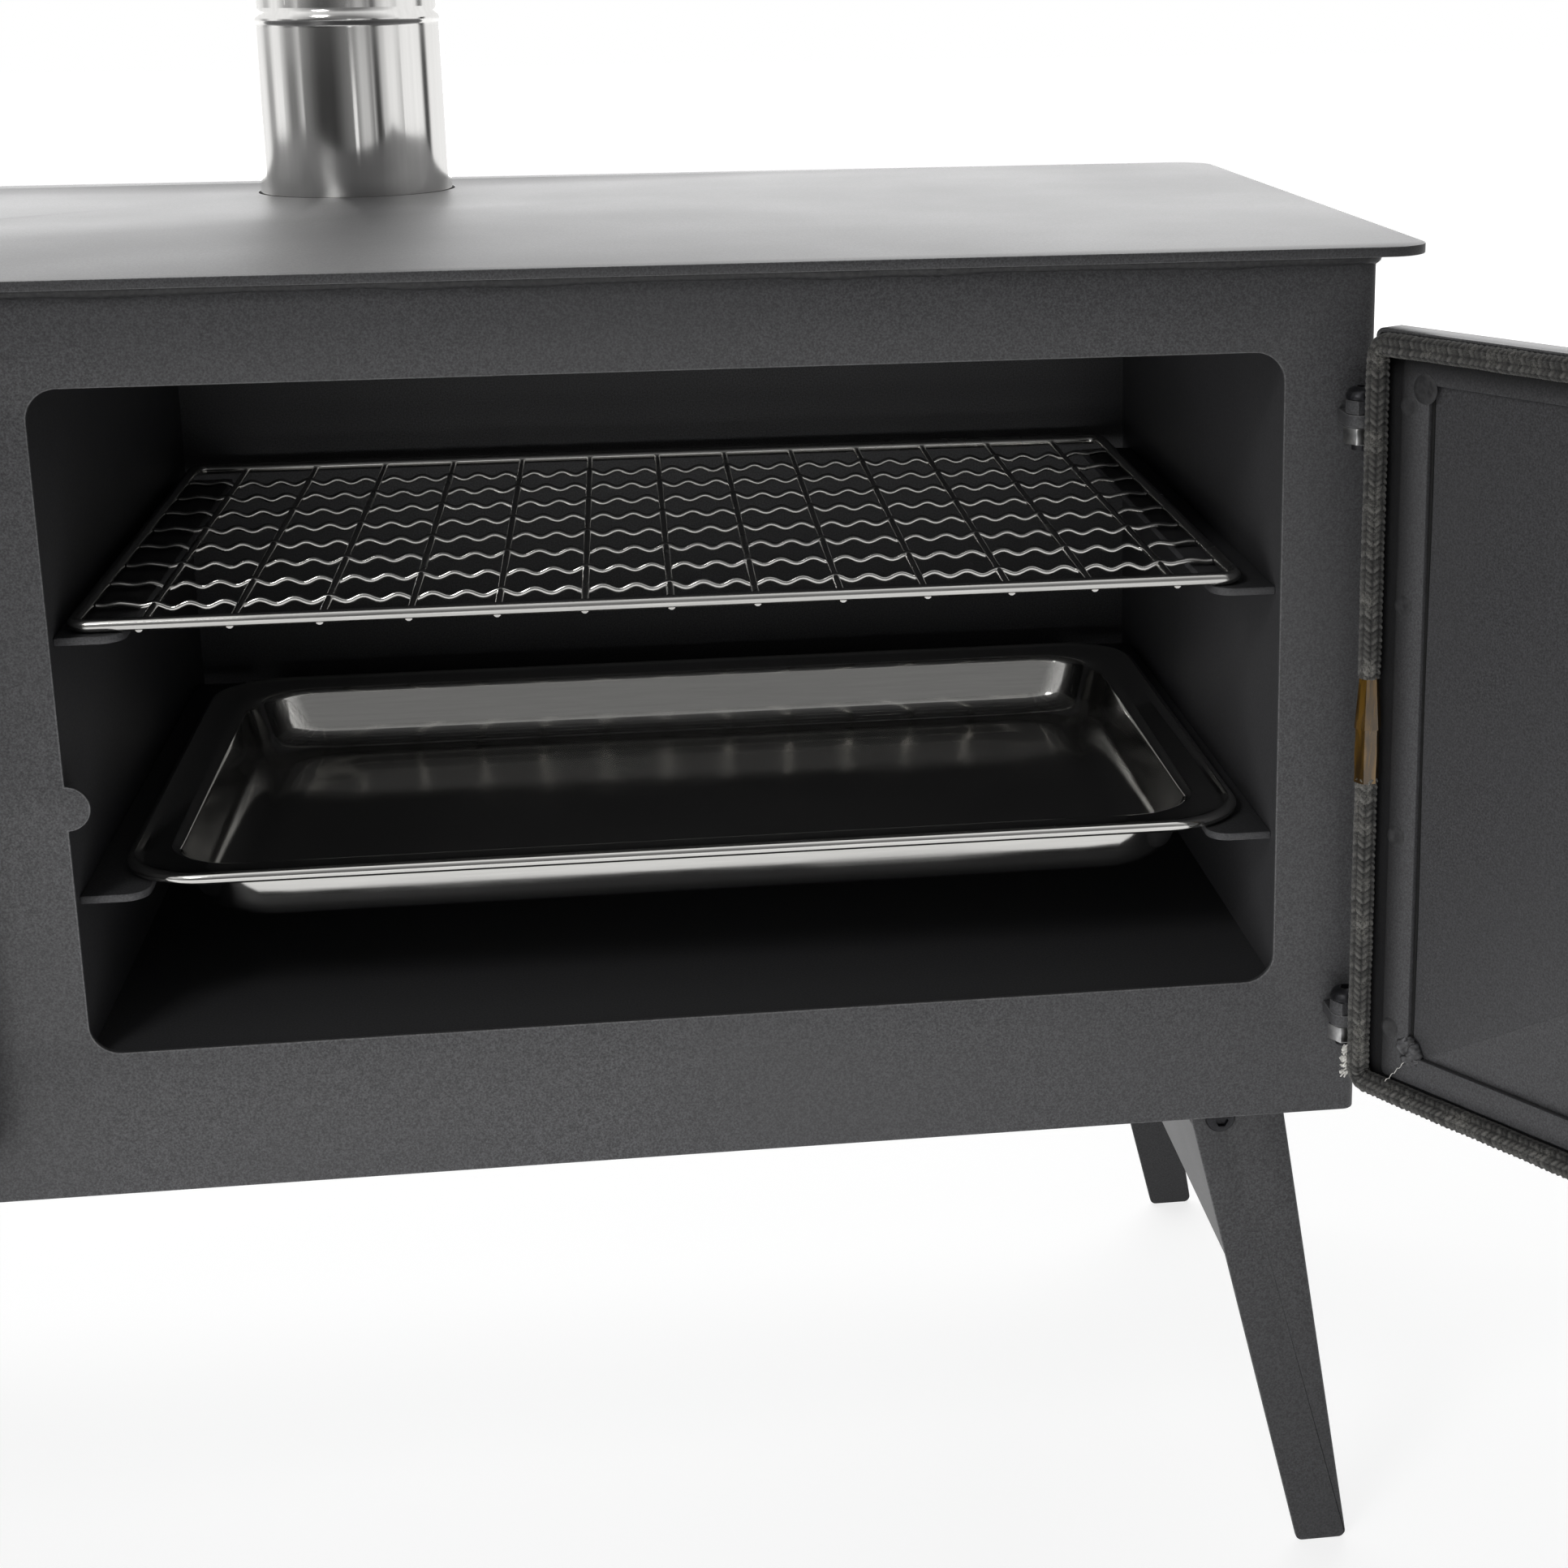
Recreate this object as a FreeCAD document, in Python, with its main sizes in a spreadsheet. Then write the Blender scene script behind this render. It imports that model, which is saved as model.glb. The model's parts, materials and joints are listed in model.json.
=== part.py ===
"""Tent stove: a firebox on the left, an oven on the right, one flue and two folding leg frames.

Millimetres. The origin is on the ground under the middle of the body, +Z is up, and the
doors face -Y. The oven door stands open, as it is used when the oven is loaded.
"""
import FreeCAD, Part
import itertools
import math
import os

import Sketcher
from FreeCAD import Placement, Rotation, Vector

SIZES = (
    ("body_depth", 308, "outside depth of the body"),
    ("leg_height", 174, "ground to the underside of the body"),
    ("sheet", 2, "body sheet"),
    ("bend_radius", 4, "outer radius where the front sheet turns into the sides"),
    ("side_return", 20, "how far the front sheet runs back along each side"),
    ("plate_thickness", 3, "top plate"),
    ("plate_overhang_side", 16, "top plate past each side"),
    ("plate_overhang_front", 5.5, "top plate past the front"),
    ("plate_overhang_rear", 4, "top plate past the rear"),
    ("plate_corner", 14, "corner radius of the top plate"),
    ("opening_margin", 28, "outer edge of each opening to the side of the body"),
    ("opening_sill", 46, "underside of the body to the lower edge of the openings"),
    ("opening_height", 200, "height of both openings"),
    ("opening_head", 28, "top of the openings to the underside of the top plate"),
    ("oven_opening_width", 361, "width of the oven opening"),
    ("fire_opening_width", 174, "width of the firebox opening"),
    ("post_width", 47, "front sheet between the two openings"),
    ("opening_corner", 9, "corner radius of both openings"),
    ("catch_radius", 6.8, "half-round catch tab in the edge of each opening"),
    ("catch_height", 77, "catch tab above the sill"),
    ("oven_sheet", 1.5, "oven liner sheet"),
    ("oven_clearance", 1, "oven liner wall behind the edge of the opening"),
    ("oven_rear_gap", 44, "back of the oven to the rear panel"),
    ("ledge_width", 19.5, "shelf ledge, out from the oven wall"),
    ("ledge_thickness", 2.5, "shelf ledge"),
    ("ledge_setback", 8, "front end of a ledge behind the front sheet"),
    ("ledge_rear_gap", 16, "rear end of a ledge to the back of the oven"),
    ("ledge_corner", 7, "rounded inner front corner of a ledge"),
    ("upper_ledge_height", 126, "top of the upper ledges above the sill"),
    ("lower_ledge_height", 46.5, "top of the lower ledges above the sill"),
    ("rest_gap", 0.3, "rack wire or tray edge over the ledge that carries it"),
    ("rack_right_gap", 11, "middle of the right frame wire to the right oven wall"),
    ("rack_rear_gap", 7.3, "middle of the rear frame wire to the back of the oven"),
    ("rack_side_gap", 4.6, "left oven wall to the middle of the left frame wire"),
    ("rack_setback", 13.9, "front of the body to the middle of the front frame wire"),
    ("rack_corner", 5, "bend of the frame wire at its middle"),
    ("rack_wire", 4, "frame wire diameter"),
    ("rod_wire", 2, "depth rod diameter"),
    ("rod_margin", 19.2, "outermost depth rod to the middle of the side wire"),
    ("rod_count", 13, "number of depth rods"),
    ("cross_wire", 1.7, "crimped cross wire diameter"),
    ("cross_count", 8, "number of cross wires"),
    ("tray_right_gap", 5, "tray rim to the right oven wall"),
    ("tray_rear_gap", 24.5, "tray rim to the back of the oven"),
    ("tray_side_gap", 9, "left oven wall to the tray rim"),
    ("tray_setback", 12.5, "front of the body to the tray rim"),
    ("tray_rim", 15, "width of the flat rim"),
    ("tray_corner", 26, "corner radius of the rim"),
    ("tray_basin", 23, "depth of the basin"),
    ("tray_slope", 4, "how far a basin wall leans in"),
    ("tray_sheet", 0.8, "tray sheet"),
    ("tray_bead", 1.8, "radius of the rolled edge"),
    ("hinge_inset", 6.5, "hinge axis in from the side of the body"),
    ("hinge_proud", 9, "hinge axis in front of the front sheet"),
    ("upper_hinge_drop", 17.2, "where the lugs of the upper hinge meet, below the top of the opening"),
    ("lower_hinge_drop", 7.6, "where the lugs of the lower hinge meet, below the sill"),
    ("hinge_play", 0.2, "gap between the lugs of a hinge"),
    ("lug_thickness", 4, "hinge lug"),
    ("lug_radius", 5, "round end of a hinge lug"),
    ("door_gap", 6, "hinge axis to the edge of the door"),
    ("door_overlap", 17, "door past the far edge of its opening"),
    ("door_drop", 30, "door below the sill"),
    ("door_rise", 9, "door above the opening"),
    ("door_depth", 9.3, "depth of the door pan"),
    ("door_front", 7.5, "door face in front of the hinge axis"),
    ("door_sheet", 1.5, "door pan and liner sheet"),
    ("door_corner", 2.5, "corner radius of the door pan"),
    ("oven_door_angle", 121.8, "how far the oven door stands open"),
    ("seal_diameter", 7.5, "braided rope seal"),
    ("seal_edge", 0.25, "rope in from the edge of the door pan"),
    ("seal_gap", 0.5, "closed door: rope to the front sheet"),
    ("seal_corner", 5, "bend of the rope at its middle"),
    ("tape_sleeve", 0.2, "thickness of the tape over the rope ends"),
    ("tape_edge", 1, "edges of the tape above the door liner"),
    ("tape_length", 17, "length of one taped rope end"),
    ("tape_height", 88.5, "where the taped rope ends meet, above the sill"),
    ("frame_side_inset", 12, "edge of the door to the frame strip at its sides"),
    ("frame_end_inset", 7.8, "edge of the door to the frame strip at top and bottom"),
    ("frame_strip", 10.3, "width of the frame strip at the sides of the door liner"),
    ("frame_top_strip", 6.6, "width of the frame strip at the top"),
    ("frame_bottom_strip", 9.4, "width of the frame strip at the bottom"),
    ("frame_thickness", 2, "frame strip"),
    ("bolt_radius", 3, "hinge and leg bolt"),
    ("bolt_fit", 0.06, "radial room of a bolt or shaft in its hole"),
    ("bolt_head_radius", 5, "button head"),
    ("bolt_head_height", 3.6, "button head"),
    ("bolt_socket", 2.2, "hexagon socket, middle to corner"),
    ("bolt_tail", 2, "bolt end past its nut"),
    ("nut_corner", 5.77, "hexagon nut, middle to corner"),
    ("nut_height", 5, "hexagon nut"),
    ("notch_room", 1, "room round the bolts in the edge of the door"),
    ("latch_inset", 20, "latch shaft in from the edge of the opening"),
    ("latch_shaft", 4, "latch shaft radius"),
    ("latch_shoulder", 8, "radius of the shaft's shoulder outside the door"),
    ("latch_shoulder_length", 3, "length of that shoulder"),
    ("latch_bush", 7, "outer radius of the bush in the door"),
    ("cam_reach", 17, "latch shaft to the tip of the cam"),
    ("cam_width", 10, "width of the cam"),
    ("cam_thickness", 3, "cam plate"),
    ("cam_room", 0.8, "closed door: cam behind the catch tab"),
    ("latch_nut_corner", 7.5, "cam nut, middle to corner"),
    ("latch_nut_height", 6, "cam nut"),
    ("handle_standoff", 38, "hinge axis plane to the middle of the handle rod"),
    ("handle_hub", 8, "radius of the handle hub"),
    ("handle_hub_length", 16, "length of the handle hub"),
    ("handle_rod", 4, "radius of the handle rod"),
    ("handle_length", 100, "latch shaft to the end of the handle rod"),
    ("grip_radius", 9, "widest radius of the wooden grip"),
    ("grip_end_radius", 6.5, "radius of the grip at its ends"),
    ("grip_length", 74, "length of the grip"),
    ("window_side", 32, "side of the opening to the firebox door's window"),
    ("window_head", 15, "top of the opening to the window"),
    ("window_sill", 95, "lower edge of the window above the opening's sill"),
    ("window_corner", 8, "corner radius of the window"),
    ("glass_margin", 12, "glass past the window all round"),
    ("glass_thickness", 4, "ceramic glass"),
    ("air_hole_radius", 8, "air hole in the firebox door"),
    ("air_hole_pitch", 36, "spacing of the air holes"),
    ("air_hole_height", 30, "air holes above the sill"),
    ("air_hole_count", 3, "number of air holes"),
    ("shutter_width", 124, "air shutter"),
    ("shutter_height", 30, "air shutter"),
    ("shutter_thickness", 1.5, "air shutter"),
    ("shutter_tab", 10, "finger tab of the air shutter"),
    ("guide_height", 6, "shutter guide strip"),
    ("guide_lip", 3, "how far a guide laps over the shutter"),
    ("guide_sheet", 1.2, "lip of a shutter guide"),
    ("guide_play", 0.2, "room of the shutter in its guides"),
    ("flue_rear", 42, "middle of the flue to the rear of the body"),
    ("flue_socket_radius", 35, "outer radius of the flue's socket end"),
    ("flue_socket_length", 69, "length of the socket end"),
    ("flue_radius", 34.4, "outer radius of the flue above its socket"),
    ("flue_bead", 0.7, "how far the rolled bead stands out"),
    ("flue_bead_width", 5, "width of the rolled bead"),
    ("flue_wall", 0.6, "flue sheet"),
    ("flue_length", 297, "flue section from its seat to its top"),
    ("spigot_clearance", 0.3, "spigot inside the flue socket"),
    ("spigot_wall", 1.5, "flue spigot"),
    ("spigot_height", 45, "spigot above the top plate"),
    ("spigot_flange", 5.5, "flange of the spigot under the top plate, clear of the rear panel"),
    ("flue_hole_gap", 1, "flue to the edge of its hole in the top plate"),
    ("partition_gap", 22, "edge of the firebox opening to the partition"),
    ("rail_width", 14, "grate rail, out from its wall"),
    ("rail_thickness", 3, "grate rail"),
    ("rail_setback", 12, "front end of a rail behind the front sheet"),
    ("rail_rear_gap", 22, "rear end of a rail to the rear panel"),
    ("grate_thickness", 4, "fire grate"),
    ("grate_drop", 1, "top of the grate below the sill"),
    ("grate_room", 2, "room round the grate"),
    ("grate_rear_gap", 22, "rear edge of the grate to the rear panel"),
    ("grate_slot", 8, "width of a slot in the grate"),
    ("grate_bar", 12, "bar between two slots"),
    ("grate_border", 24, "solid edge of the grate"),
    ("grate_slot_count", 8, "number of slots"),
    ("leg_inset", 24.7, "front of the body to the front face of a leg frame"),
    ("leg_sheet", 2, "leg sheet"),
    ("leg_pivot_inset", 38.8, "side of the body to the leg pivot"),
    ("leg_pivot_drop", 11.2, "underside of the body to the leg pivot"),
    ("leg_play", 0.15, "gap between a leg face, its bracket and its bolt head"),
    ("leg_top_outer", 20, "pivot to the outer edge of a leg at its top"),
    ("leg_top_inner", 12.3, "pivot to the inner edge of a leg, run up to the body"),
    ("leg_foot_outer", 47.4, "pivot to the outer edge of the foot"),
    ("leg_foot_inner", 29.8, "pivot to the inner edge of the foot"),
    ("leg_foot_corner", 2.5, "corner radius of the foot"),
    ("web_top_drop", 4, "pivot to the top of the web between the legs"),
    ("web_bottom_drop", 63, "underside of the body to the bottom of the web"),
    ("bracket_thickness", 3, "leg bracket"),
    ("bracket_eye", 6.5, "radius of the bracket round the bolt"),
    ("bracket_arm", 15, "width of the bracket arm"),
    ("bracket_foot", 16, "depth of the bracket's weld flange"),
)

doc = FreeCAD.newDocument("tent_stove")
sheet = doc.addObject("Spreadsheet::Sheet", "Sizes")
for row, (alias, number, meaning) in enumerate(SIZES, start=1):
    sheet.set(f"A{row}", alias)
    sheet.set(f"B{row}", str(number))
    sheet.setAlias(f"B{row}", alias)
    sheet.set(f"C{row}", meaning)
doc.recompute()

# Places that several pieces share, as expressions of the sheet's sizes
OPENINGS_WIDTH = "(Sizes.fire_opening_width + Sizes.post_width + Sizes.oven_opening_width)"
BODY_WIDTH = f"(2 * Sizes.opening_margin + {OPENINGS_WIDTH})"
BODY_HEIGHT = "(Sizes.opening_sill + Sizes.opening_height + Sizes.opening_head)"
HALF_WIDTH = f"({BODY_WIDTH} / 2)"
FRONT = "(-Sizes.body_depth / 2)"
REAR = "(Sizes.body_depth / 2)"
FRONT_INSIDE = f"({FRONT} + Sizes.sheet)"
BOTTOM = "Sizes.leg_height"
PLATE_UNDER = f"(Sizes.leg_height + {BODY_HEIGHT})"
PLATE_TOP = f"({PLATE_UNDER} + Sizes.plate_thickness)"
SILL = "(Sizes.leg_height + Sizes.opening_sill)"
OVEN_RIGHT = f"({HALF_WIDTH} - Sizes.opening_margin)"
OVEN_LEFT = f"({OVEN_RIGHT} - Sizes.oven_opening_width)"
FIRE_LEFT = f"(-{HALF_WIDTH} + Sizes.opening_margin)"
FIRE_RIGHT = f"({FIRE_LEFT} + Sizes.fire_opening_width)"
CATCH = f"({SILL} + Sizes.catch_height)"
OVEN_WALL_LEFT = f"({OVEN_LEFT} - Sizes.oven_clearance)"
OVEN_WALL_RIGHT = f"({OVEN_RIGHT} + Sizes.oven_clearance)"
OVEN_FLOOR = f"({SILL} - Sizes.oven_clearance)"
OVEN_TOP = f"({SILL} + Sizes.opening_height + Sizes.oven_clearance)"
REAR_INSIDE = f"({REAR} - Sizes.sheet)"
OVEN_BACK = f"({REAR_INSIDE} - Sizes.oven_rear_gap)"
OVEN_WIDTH = f"({OVEN_WALL_RIGHT} - {OVEN_WALL_LEFT})"
WINDOW_WIDTH = "(Sizes.fire_opening_width - 2 * Sizes.window_side)"
WINDOW_HEIGHT = "(Sizes.opening_height - Sizes.window_sill - Sizes.window_head)"
PARTITION = f"({FIRE_RIGHT} + Sizes.partition_gap)"
HINGE_Y = f"({FRONT} - Sizes.hinge_proud)"
DOOR_BOTTOM = f"({SILL} - Sizes.door_drop)"
DOOR_HEIGHT = "(Sizes.door_drop + Sizes.opening_height + Sizes.door_rise)"
SEAL_INSET = "(Sizes.seal_edge + Sizes.seal_diameter / 2)"
SEAL_BED = "(Sizes.hinge_proud - Sizes.seal_gap - Sizes.seal_diameter)"
HINGE_HEIGHTS = ("(Sizes.opening_height - Sizes.upper_hinge_drop)", "(-Sizes.lower_hinge_drop)")
PLANE_ROLES = {"XY": "XY_Plane", "XZ": "XZ_Plane", "YZ": "YZ_Plane"}
AXIS_TURNS = {
    "x": Rotation(Vector(0, 1, 0), 90),
    "y": Rotation(Vector(1, 0, 0), -90),
    "z": Rotation(),
}
# A dome is chamfered at this share of its radius and height
DOME_SHARE = 0.8
# Height of a hexagon's upper corners over the distance from its middle to a corner, the sine of 60 degrees
HEXAGON_RISE = 0.8660254
finished = []


def number(expression):
    """The value of an expression of the sheet's sizes."""
    return float(sheet.evalExpression(str(expression)))


def keep(piece, label):
    """Name a finished piece and put it on the list of pieces to write."""
    piece.Label = label
    finished.append(piece)
    return piece


def place(piece, x, y, z):
    """Bind a piece's position."""
    for axis, expression in zip("xyz", (x, y, z)):
        piece.setExpression(f".Placement.Base.{axis}", str(expression))
    return piece


def box(x, y, z, length, width, height):
    """A rectangular block with its low corner at x, y, z."""
    block = doc.addObject("Part::Box", "block")
    block.setExpression("Length", str(length))
    block.setExpression("Width", str(width))
    block.setExpression("Height", str(height))
    return place(block, x, y, z)


def cylinder(x, y, z, radius, length, axis="z"):
    """A round bar that starts at x, y, z and runs along a positive axis."""
    bar = doc.addObject("Part::Cylinder", "bar")
    bar.setExpression("Radius", str(radius))
    bar.setExpression("Height", str(length))
    bar.Placement = Placement(Vector(), AXIS_TURNS[axis])
    return place(bar, x, y, z)


def hexagon(x, y, z, corner, length, axis="z"):
    """A hexagonal bar that starts at x, y, z and runs along a positive axis."""
    prism = doc.addObject("Part::Prism", "hexagon")
    prism.Polygon = 6
    prism.setExpression("Circumradius", str(corner))
    prism.setExpression("Height", str(length))
    prism.Placement = Placement(Vector(), AXIS_TURNS[axis])
    return place(prism, x, y, z)


def fuse(*pieces):
    """One solid made of pieces that meet."""
    joined = doc.addObject("Part::MultiFuse", "joined")
    joined.Shapes = list(pieces)
    joined.Refine = True
    return joined


def cut(base, *tools):
    """A piece with tools taken out of it."""
    trimmed = doc.addObject("Part::Cut", "trimmed")
    trimmed.Base = base
    trimmed.Tool = tools[0] if len(tools) == 1 else fuse(*tools)
    return trimmed


def group(*pieces):
    """Separate like pieces that share one name."""
    gathered = doc.addObject("Part::Compound", "gathered")
    gathered.Links = list(pieces)
    return gathered


def bind_point(sketch, geometry, end, x, y):
    """Fix one end of a sketch line, or a circle's middle, at two expressions."""
    for kind, expression in (("DistanceX", x), ("DistanceY", y)):
        datum = Sketcher.Constraint(kind, -1, 1, geometry, end, number(expression))
        index = sketch.addConstraint(datum)
        sketch.setExpression(f"Constraints[{index}]", str(expression))


def polygon(*points):
    """An outline of straight lines through points given as expressions."""
    def draw(sketch):
        corners = [Vector(number(x), number(y), 0) for x, y in points]
        lines = []
        for start, end in zip(corners, corners[1:] + corners[:1]):
            lines.append(sketch.addGeometry(Part.LineSegment(start, end), False))
        for line, following in zip(lines, lines[1:] + lines[:1]):
            sketch.addConstraint(Sketcher.Constraint("Coincident", line, 2, following, 1))
        for line, (x, y) in zip(lines, points):
            bind_point(sketch, line, 1, x, y)
    return draw


def rectangle(x, y, width, height):
    """A square-cornered outline with its low corner at x, y."""
    far_x, far_y = f"({x} + {width})", f"({y} + {height})"
    return polygon((x, y), (far_x, y), (far_x, far_y), (x, far_y))


def rounded(x, y, width, height, radius):
    """A round-cornered outline with its low corner at x, y."""
    def draw(sketch):
        low_x, low_y, curve = number(x), number(y), number(radius)
        high_x, high_y = low_x + number(width), low_y + number(height)
        starts = ((low_x + curve, low_y), (high_x, low_y + curve),
                  (high_x - curve, high_y), (low_x, high_y - curve))
        ends = ((high_x - curve, low_y), (high_x, high_y - curve),
                (low_x + curve, high_y), (low_x, low_y + curve))
        middles = ((high_x - curve, low_y + curve), (high_x - curve, high_y - curve),
                   (low_x + curve, high_y - curve), (low_x + curve, low_y + curve))
        sides, arcs = [], []
        for quarter in range(4):
            side = Part.LineSegment(Vector(*starts[quarter], 0), Vector(*ends[quarter], 0))
            sides.append(sketch.addGeometry(side, False))
            ring = Part.Circle(Vector(*middles[quarter], 0), Vector(0, 0, 1), curve)
            first = (quarter - 1) * math.pi / 2
            arcs.append(sketch.addGeometry(Part.ArcOfCircle(ring, first, first + math.pi / 2), False))
        for quarter in range(4):
            following = sides[(quarter + 1) % 4]
            sketch.addConstraint(Sketcher.Constraint("Tangent", sides[quarter], 2, arcs[quarter], 1))
            sketch.addConstraint(Sketcher.Constraint("Tangent", arcs[quarter], 2, following, 1))
            direction = "Vertical" if quarter % 2 else "Horizontal"
            sketch.addConstraint(Sketcher.Constraint(direction, sides[quarter]))
        for arc in arcs[1:]:
            sketch.addConstraint(Sketcher.Constraint("Equal", arcs[0], arc))
        index = sketch.addConstraint(Sketcher.Constraint("Radius", arcs[0], curve))
        sketch.setExpression(f"Constraints[{index}]", str(radius))
        bind_point(sketch, sides[0], 1, f"{x} + {radius}", y)
        bind_point(sketch, sides[2], 1, f"{x} + {width} - {radius}", f"{y} + {height}")
    return draw


def circle(x, y, radius):
    """A round outline about x, y."""
    def draw(sketch):
        ring = Part.Circle(Vector(number(x), number(y), 0), Vector(0, 0, 1), number(radius))
        index = sketch.addGeometry(ring, False)
        datum = sketch.addConstraint(Sketcher.Constraint("Radius", index, number(radius)))
        sketch.setExpression(f"Constraints[{datum}]", str(radius))
        bind_point(sketch, index, 3, x, y)
    return draw


def sketch_at(body, plane, level, outlines):
    """A sketch in a body, parallel to one of its origin planes at a level along that axis."""
    origin = next(item for item in body.Origin.OriginFeatures if item.Role == PLANE_ROLES[plane])
    sketch = body.newObject("Sketcher::SketchObject", "outline")
    sketch.AttachmentSupport = (origin, [""])
    sketch.MapMode = "FlatFace"
    # The XZ plane faces -Y, the other two face along their own axis
    offset = f"-({level})" if plane == "XZ" else str(level)
    sketch.setExpression(".AttachmentOffset.Base.z", offset)
    for draw in outlines:
        draw(sketch)
    return sketch


def pad(body, plane, level, depth, *outlines):
    """Add material from a level, along the plane's positive axis."""
    feature = body.newObject("PartDesign::Pad", "pad")
    feature.Profile = sketch_at(body, plane, level, outlines)
    feature.setExpression("Length", str(depth))
    feature.Reversed = plane == "XZ"
    doc.recompute()
    return feature


def pocket(body, plane, level, depth, *outlines):
    """Take material away from a level, along the plane's positive axis."""
    before = body.Shape.Volume
    feature = body.newObject("PartDesign::Pocket", "pocket")
    feature.Profile = sketch_at(body, plane, level, outlines)
    feature.setExpression("Length", str(depth))
    feature.Reversed = plane != "XZ"
    doc.recompute()
    if body.Shape.Volume >= before:
        raise RuntimeError(f"a pocket in {body.Label} cuts nothing")
    return feature


def extrude(plane, level, depth, *outlines):
    """A new body padded from its outlines."""
    body = doc.addObject("PartDesign::Body", "body")
    pad(body, plane, level, depth, *outlines)
    return body


def round_edges(body, radius, wanted):
    """Round the edges of a body that a test picks out."""
    base = body.Tip
    names = [f"Edge{index}" for index, edge in enumerate(base.Shape.Edges, start=1) if wanted(edge)]
    feature = body.newObject("PartDesign::Fillet", "fillet")
    feature.Base = (base, names)
    feature.setExpression("Radius", str(radius))
    doc.recompute()
    return feature


def upright_at(x, y):
    """A test for the vertical edges that stand at x, y."""
    spot = Vector(number(x), number(y), 0)

    def wanted(edge):
        low, high = edge.Vertexes[0].Point, edge.Vertexes[-1].Point
        upright = abs(low.z - high.z) > 1e-6 and Vector(low.x - high.x, low.y - high.y, 0).Length < 1e-6
        return upright and Vector(low.x - spot.x, low.y - spot.y, 0).Length < 1e-4
    return wanted


def lathe(body, *points):
    """Material turned about the body's Z axis from radius and height pairs."""
    section = sketch_at(body, "XZ", "0", [polygon(*points)])
    feature = body.newObject("PartDesign::Revolution", "turned")
    feature.Profile = section
    feature.ReferenceAxis = (section, ["V_Axis"])
    feature.Angle = 360
    doc.recompute()
    return feature


def loop_bar(body, plane, level, outline, start_x, start_y, radius, section_plane):
    """A round bar bent into a closed loop: its route is an outline, its section stands at its start."""
    route = sketch_at(body, plane, level, [outline])
    if plane == "XY":
        middle = circle(start_y, level, radius)
    else:
        middle = circle(level, start_y, radius)
    section = sketch_at(body, section_plane, start_x, [middle])
    feature = body.newObject("PartDesign::AdditivePipe", "bent_bar")
    feature.Profile = section
    feature.Spine = route
    doc.recompute()
    return feature


def build_body():
    """The sheet-metal body, its top plate and the flue spigot."""
    low, depth = BOTTOM, BODY_HEIGHT
    inner = f"({HALF_WIDTH} - Sizes.sheet)"
    end = f"({FRONT} + Sizes.side_return)"
    front = extrude("XY", low, depth, polygon(
        (f"-{HALF_WIDTH}", FRONT), (HALF_WIDTH, FRONT), (HALF_WIDTH, end), (inner, end),
        (inner, FRONT_INSIDE), (f"-{inner}", FRONT_INSIDE), (f"-{inner}", end), (f"-{HALF_WIDTH}", end)))
    for side in ("-", ""):
        round_edges(front, "Sizes.bend_radius", upright_at(f"{side}{HALF_WIDTH}", FRONT))
        round_edges(front, "Sizes.bend_radius - Sizes.sheet", upright_at(f"{side}{inner}", FRONT_INSIDE))
    for left, width in ((OVEN_LEFT, "Sizes.oven_opening_width"), (FIRE_LEFT, "Sizes.fire_opening_width")):
        outline = rounded(left, SILL, width, "Sizes.opening_height", "Sizes.opening_corner")
        pocket(front, "XZ", FRONT, "Sizes.sheet", outline)
    for edge in (OVEN_LEFT, FIRE_RIGHT):
        pad(front, "XZ", FRONT, "Sizes.sheet", circle(edge, CATCH, "Sizes.catch_radius"))
    keep(front, "front_panel")

    side_length = "Sizes.body_depth - Sizes.side_return"
    keep(box(f"-{HALF_WIDTH}", end, low, "Sizes.sheet", side_length, depth), "left_side_panel")
    keep(box(inner, end, low, "Sizes.sheet", side_length, depth), "right_side_panel")
    keep(box(f"-{inner}", f"{REAR} - Sizes.sheet", low, f"2 * {inner}", "Sizes.sheet", depth), "rear_panel")
    inside_depth = "Sizes.body_depth - 2 * Sizes.sheet"
    keep(box(f"-{inner}", FRONT_INSIDE, low, f"2 * {inner}", inside_depth, "Sizes.sheet"), "bottom_panel")

    plate_left = f"(-{HALF_WIDTH} - Sizes.plate_overhang_side)"
    plate_front = f"({FRONT} - Sizes.plate_overhang_front)"
    plate_width = f"({BODY_WIDTH} + 2 * Sizes.plate_overhang_side)"
    plate_depth = "(Sizes.body_depth + Sizes.plate_overhang_front + Sizes.plate_overhang_rear)"
    flue_y = f"({REAR} - Sizes.flue_rear)"
    spigot_radius = "(Sizes.flue_socket_radius - Sizes.flue_wall - Sizes.spigot_clearance)"
    plate = extrude(
        "XY", PLATE_UNDER, "Sizes.plate_thickness",
        rounded(plate_left, plate_front, plate_width, plate_depth, "Sizes.plate_corner"),
        circle("0", flue_y, "Sizes.flue_socket_radius + Sizes.flue_hole_gap"))
    keep(plate, "top_plate")

    flange = "Sizes.sheet"
    spigot_low = f"({PLATE_UNDER} - {flange})"
    spigot_length = f"({flange} + Sizes.plate_thickness + Sizes.spigot_height)"
    spigot = cut(
        fuse(cylinder("0", flue_y, spigot_low, f"{spigot_radius} + Sizes.spigot_flange", flange),
             cylinder("0", flue_y, spigot_low, spigot_radius, spigot_length)),
        cylinder("0", flue_y, spigot_low, f"{spigot_radius} - Sizes.spigot_wall", spigot_length))
    keep(spigot, "flue_spigot")


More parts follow.
